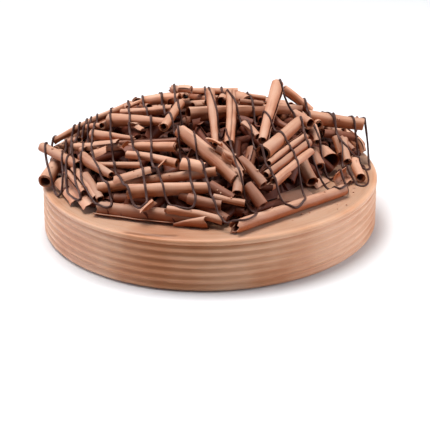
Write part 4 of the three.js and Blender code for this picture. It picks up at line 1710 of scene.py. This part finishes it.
@dataclass
class IcedCake:
    """The disc of icing: a comb's rings round the side, spatula strokes on the open top.

    soft_place is where the rings were pressed flat, in degrees round the cake, soft_width how far
    to both sides, in radians, soft_height over which heights it sets in, soft_flat the share of
    the relief that is gone and soft_inset how far the icing was pressed in. press, drift and
    wobble are the heights of the waves that a hand leaves, the last two fading out towards the
    foot, and inset keeps them within the solid. Inside worked_reach the top is left plain.
    """

    radius: float = 125.0
    height: float = 38.5
    ring_count: int = 6
    ring_pitch: float = 5.73
    ring_depth: float = 1.9
    ring_lean: float = 0.025
    foot_inset: float = 0.6
    lowest_ring: float = 0.35
    overhang: float = 0.35
    rounding: float = 2.2
    rounding_steps: int = 7
    sides: int = 420
    steps_in_ring: int = 12
    worked_reach: float = 62.0
    fine_reach: float = 100.0
    fine_step: float = 0.8
    coarse_step: float = 2.5
    plain_rings: Pair = (40.0, 15.0)
    seed: int = 5
    soft_place: float = 215.0
    soft_width: float = 0.6
    soft_height: Pair = (16.0, 34.0)
    soft_flat: float = 0.21
    soft_inset: float = 0.9
    press: float = 0.12
    inset: float = 0.2
    drift: float = 0.16
    wobble: float = 0.22
    steady_foot: float = 4.0
    stroke_count: int = 26
    stroke_place: Pair = (98, 123.5)
    stroke_width: Pair = (0.7, 2.4)
    stroke_spread: Pair = (0.25, 0.9)
    stroke_height: Pair = (-0.35, 0.3)
    ledges: tuple[Ledge, ...] = (
        Ledge(119.6, 226, 262, 0.75), Ledge(122.2, 236, 256, 0.5), Ledge(117.0, 300, 326, 0.35),
    )
    finish: IcingFinish = field(default_factory=IcingFinish)

    def build(self) -> None:
        """Builds the icing and lets it stand for the solid cake."""
        profile = self.profile()
        rows, sides = len(profile), self.sides
        angle = np.arange(sides) / sides * TURN
        radius, level, walked, combed = (
            np.repeat(profile[:, k:k + 1], sides, 1) for k in range(4)
        )
        radius, level = self.uneven(radius, level, combed, angle)
        cosine = np.broadcast_to(np.cos(angle), radius.shape)
        sine = np.broadcast_to(np.sin(angle), radius.shape)
        points = np.stack([radius * cosine, radius * sine, level], -1).reshape(-1, 3)
        stored = np.stack([cosine, sine, walked], -1).reshape(-1, 3)
        total = len(points)
        points = np.concatenate([points, [[0, 0, 0], [0, 0, self.height]]])
        stored = np.concatenate([stored, [[0, 0, 0], [0, 0, walked.max() + 60]]])
        made = Patchwork()
        made.add(points, lattice(rows, sides, 0, closed=True), stored)
        made.faces.append(fan(total, 0, sides, onward=False))
        made.faces.append(fan(total + 1, total - sides, sides, onward=True))
        piece = made.mesh("icing", "sweep", self.finish.make(), sharp=60.0)
        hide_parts("iced_cake")
        report(piece)

    def profile(self) -> np.ndarray:
        """Half section from the underside to the top.

        Returns:
            A row for each point: radius, height, distance walked, share of the comb's relief.
        """
        valley = self.radius - self.ring_depth
        rows = [(valley - self.foot_inset, 0.0, 0.0)]
        for ring in range(self.ring_count):
            for step in range(self.steps_in_ring + (ring == self.ring_count - 1)):
                share = step / self.steps_in_ring
                bulge = math.sin(math.pi * share) ** 1.5 if 0 < share < 1 else 0.0
                lean = self.ring_lean * math.sin(TURN * share)
                level = max(self.lowest_ring, (ring + share) * self.ring_pitch)
                rows.append((valley + self.ring_depth * bulge + lean, level, 1.0))
        rim = self.radius + self.overhang
        start = self.ring_count * self.ring_pitch
        rows += [(rim - 0.35, start + 0.5, 0.4), (rim, start + 1.1, 0.2)]
        centre = self.height - self.rounding
        inward = rim - self.rounding
        for step in range(1, self.rounding_steps + 1):
            turn = step / self.rounding_steps * math.pi / 2
            rows.append((inward + self.rounding * math.cos(turn),
                         centre + self.rounding * math.sin(turn), 0.0))
        while inward > self.worked_reach:
            inward -= self.fine_step if inward > self.fine_reach else self.coarse_step
            rows.append((inward, self.height, 0.0))
        rows += [(ring, self.height, 0.0) for ring in self.plain_rings]
        shape = np.array(rows)
        steps = np.linalg.norm(np.diff(shape[:, :2], axis=0), axis=1)
        walked = np.concatenate([[0], np.cumsum(steps)])
        return np.column_stack([shape[:, :2], walked, shape[:, 2]])

    def uneven(self, radius: np.ndarray, level: np.ndarray, combed: np.ndarray,
               angle: np.ndarray) -> tuple[np.ndarray, np.ndarray]:
        """Makes the turned form as uneven as a hand leaves it.

        Args:
            radius: Radius of each point.
            level: Height of each point.
            combed: Share of the comb's relief at each point.
            angle: Angle of each column.

        Returns:
            The new radii and heights.
        """
        rng = np.random.default_rng(self.seed)
        drift = self.waves(angle, (2, 3, 5, 7, 11), rng)
        wobble = self.waves(angle, (3, 4, 9, 14), rng)
        press = sum(rng.uniform(0.5, 1) * np.sin(n * angle + rng.uniform(0, TURN) + 0.11 * level)
                    for n in (6, 13, 23)) / 3
        soft = np.exp(-(self.apart(angle, math.radians(self.soft_place)) / self.soft_width) ** 2)
        low, high = self.soft_height
        soft = soft * np.clip((level - low) / (high - low), 0, 1) * (level < self.height - 0.01)
        relief = self.ring_depth - (self.radius - radius)
        radius = radius - combed * relief * self.soft_flat * soft + combed * press * self.press
        foot = np.clip(level / self.steady_foot, 0, 1)
        radius = radius - self.inset + self.drift * drift * foot - self.soft_inset * soft
        level = level + combed * foot * wobble * self.wobble
        open_top = (level > self.height - 0.4) & (combed < 0.01)
        level = level + open_top * self.strokes(radius, angle, rng)
        return radius, level - open_top * self.steps_down(radius, angle)

    @staticmethod
    def waves(angle: np.ndarray, counts: tuple[int, ...],
              rng: np.random.Generator) -> np.ndarray:
        """Waves round the cake.

        Args:
            angle: Angle of each column.
            counts: How many waves of each kind go round, the more the lower.
            rng: Random source.

        Returns:
            Their sum in each column.
        """
        return sum(rng.uniform(0.4, 1) / n * np.sin(n * angle + rng.uniform(0, TURN))
                   for n in counts)

    @staticmethod
    def apart(angle: np.ndarray, middle: float) -> np.ndarray:
        """The angle from a place round the cake, at most half a turn either way."""
        return np.angle(np.exp(1j * (angle - middle)))

    def strokes(self, radius: np.ndarray, angle: np.ndarray,
                rng: np.random.Generator) -> np.ndarray:
        """Ridges and furrows that the spatula left on the top.

        Args:
            radius: Radius of each point.
            angle: Angle of each column.
            rng: Random source.

        Returns:
            Their height at each point.
        """
        made = np.zeros_like(radius)
        for number in range(self.stroke_count):
            at = rng.uniform(*self.stroke_place)
            width = rng.uniform(*self.stroke_width)
            middle = rng.uniform(0, TURN)
            spread = rng.uniform(*self.stroke_spread)
            height = rng.uniform(*self.stroke_height)
            near = np.exp(-((radius - at - 1.2 * np.sin(2 * angle + number)) / width) ** 2)
            turned = np.abs(self.apart(angle, middle))
            made += height * near * np.clip(1.4 - turned / spread, 0, 1)
        return made

    def steps_down(self, radius: np.ndarray, angle: np.ndarray) -> np.ndarray:
        """How far the spatula's steps lower the top near the rim.

        Args:
            radius: Radius of each point.
            angle: Angle of each column.

        Returns:
            The drop at each point: sudden at a step's edge, then fading towards the rim.
        """
        turned = np.degrees(angle)
        lowered = np.zeros_like(radius)
        for ledge in self.ledges:
            within = (np.clip((turned - ledge.start) / 6, 0, 1)
                      * np.clip((ledge.end - turned) / 6, 0, 1))
            beyond = radius - (ledge.radius + 0.6 * np.sin(turned / 5))
            sudden = 1 / (1 + np.exp(-beyond / 0.22))
            fading = np.exp(-np.clip(beyond, 0, 9) / 2.4)
            lowered += within * ledge.drop * sudden * fading
        return lowered


# ---- The studio -----------------------------------------------------------------------------


@dataclass(frozen=True)
class Softbox:
    """A soft area light aimed at the cake."""

    name: str
    place: Triple
    size: Pair
    power: float
    tint: Colour = (1.0, 1.0, 1.0)


@dataclass
class Studio:
    """The camera, floor, pale surroundings and soft lights, in metres.

    pixels is the picture's side, focal_pixels the lens' length and target_pixel where the point
    at target_height over the middle of the ground falls in the picture.
    """

    distance: float = 1.0
    elevation: float = 22.8
    roll: float = 0.93
    target_height: float = 0.022
    pixels: float = 430.0
    focal_pixels: float = 1325.0
    target_pixel: Pair = (209.5, 191.0)
    sensor: float = 36.0
    nearest: float = 0.05
    aim_height: float = 0.05
    floor_size: float = 1.7
    floor_front: float = 0.56
    surroundings: float = 0.06
    lights: tuple[Softbox, ...] = (
        Softbox("left_softbox", (-1.25, 0.1, 0.45), (1.0, 0.9), 10.5, (0.93, 1.0, 1.16)),
        Softbox("right_softbox", (1.24, -0.12, 0.45), (1.0, 0.9), 14.0, (0.98, 1.0, 1.08)),
        Softbox("top_softbox", (-0.2, 0.2, 1.4), (0.9, 0.7), 29.0),
    )

    def build(self) -> None:
        """Sets up everything but the cake."""
        self.camera()
        self.floor()
        self.world()
        for light in self.lights:
            self.light(light)

    def camera(self) -> None:
        """Aims the camera as the photograph was taken."""
        tilt = math.radians(self.elevation)
        ahead = Vector((0, math.cos(tilt), -math.sin(tilt)))
        target = Vector((0, 0, self.target_height))
        right, up = Vector((1, 0, 0)), Vector((0, math.sin(tilt), math.cos(tilt)))
        turn = math.radians(self.roll)
        rolled_right = right * math.cos(turn) - up * math.sin(turn)
        rolled_up = right * math.sin(turn) + up * math.cos(turn)
        data = bpy.data.cameras.new("camera")
        data.sensor_width = self.sensor
        data.lens = self.focal_pixels / self.pixels * self.sensor
        data.shift_x = (self.pixels / 2 - self.target_pixel[0]) / self.pixels
        data.shift_y = -(self.pixels / 2 - self.target_pixel[1]) / self.pixels
        data.clip_start = self.nearest
        camera = bpy.data.objects.new("camera", data)
        axes = Matrix((rolled_right, rolled_up, -ahead)).transposed()
        camera.matrix_world = Matrix.Translation(target - ahead * self.distance) @ axes.to_4x4()
        bpy.context.scene.collection.objects.link(camera)
        bpy.context.scene.camera = camera

    def floor(self) -> None:
        """Lays the floor."""
        half, front = self.floor_size / 2, self.floor_front
        data = bpy.data.meshes.new("floor")
        corners = [(-half, -front, 0), (half, -front, 0), (half, half, 0), (-half, half, 0)]
        data.from_pydata(corners, [], [(0, 1, 2, 3)])
        data.materials.append(FloorFinish().make())
        floor = bpy.data.objects.new("floor", data)
        bpy.context.scene.collection.objects.link(floor)

    def world(self) -> None:
        """White surroundings that light the cake only a little, shown as they are."""
        world = bpy.data.worlds.new("surroundings")
        world.use_nodes = True
        tree = world.node_tree
        background = tree.nodes["Background"]
        background.inputs["Color"].default_value = (1, 1, 1, 1)
        path = tree.nodes.new("ShaderNodeLightPath")
        strength = tree.nodes.new("ShaderNodeMapRange")
        strength.inputs["To Min"].default_value = self.surroundings
        tree.links.new(path.outputs["Is Camera Ray"], strength.inputs["Value"])
        tree.links.new(strength.outputs["Result"], background.inputs["Strength"])
        bpy.context.scene.world = world
        bpy.context.scene.view_settings.view_transform = "Standard"

    def light(self, box: Softbox) -> None:
        """Hangs one softbox.

        Args:
            box: The softbox.
        """
        data = bpy.data.lights.new(box.name, "AREA")
        data.shape = "RECTANGLE"
        data.size, data.size_y = box.size
        data.energy = box.power
        data.color = box.tint
        light = bpy.data.objects.new(box.name, data)
        light.location = box.place
        aim = Vector((0, 0, self.aim_height)) - Vector(box.place)
        light.rotation_euler = aim.to_track_quat("-Z", "Y").to_euler()
        bpy.context.scene.collection.objects.link(light)


# ---- Building -------------------------------------------------------------------------------


def main() -> None:
    """Builds the studio, the icing, the heap and the drizzle."""
    logging.basicConfig(level=logging.INFO, format="%(name)s: %(message)s")
    Studio().build()
    IcedCake().build()
    ground = CurlHeap().build()
    Drizzle().build(ground)


if __name__ == "__main__":
    main()
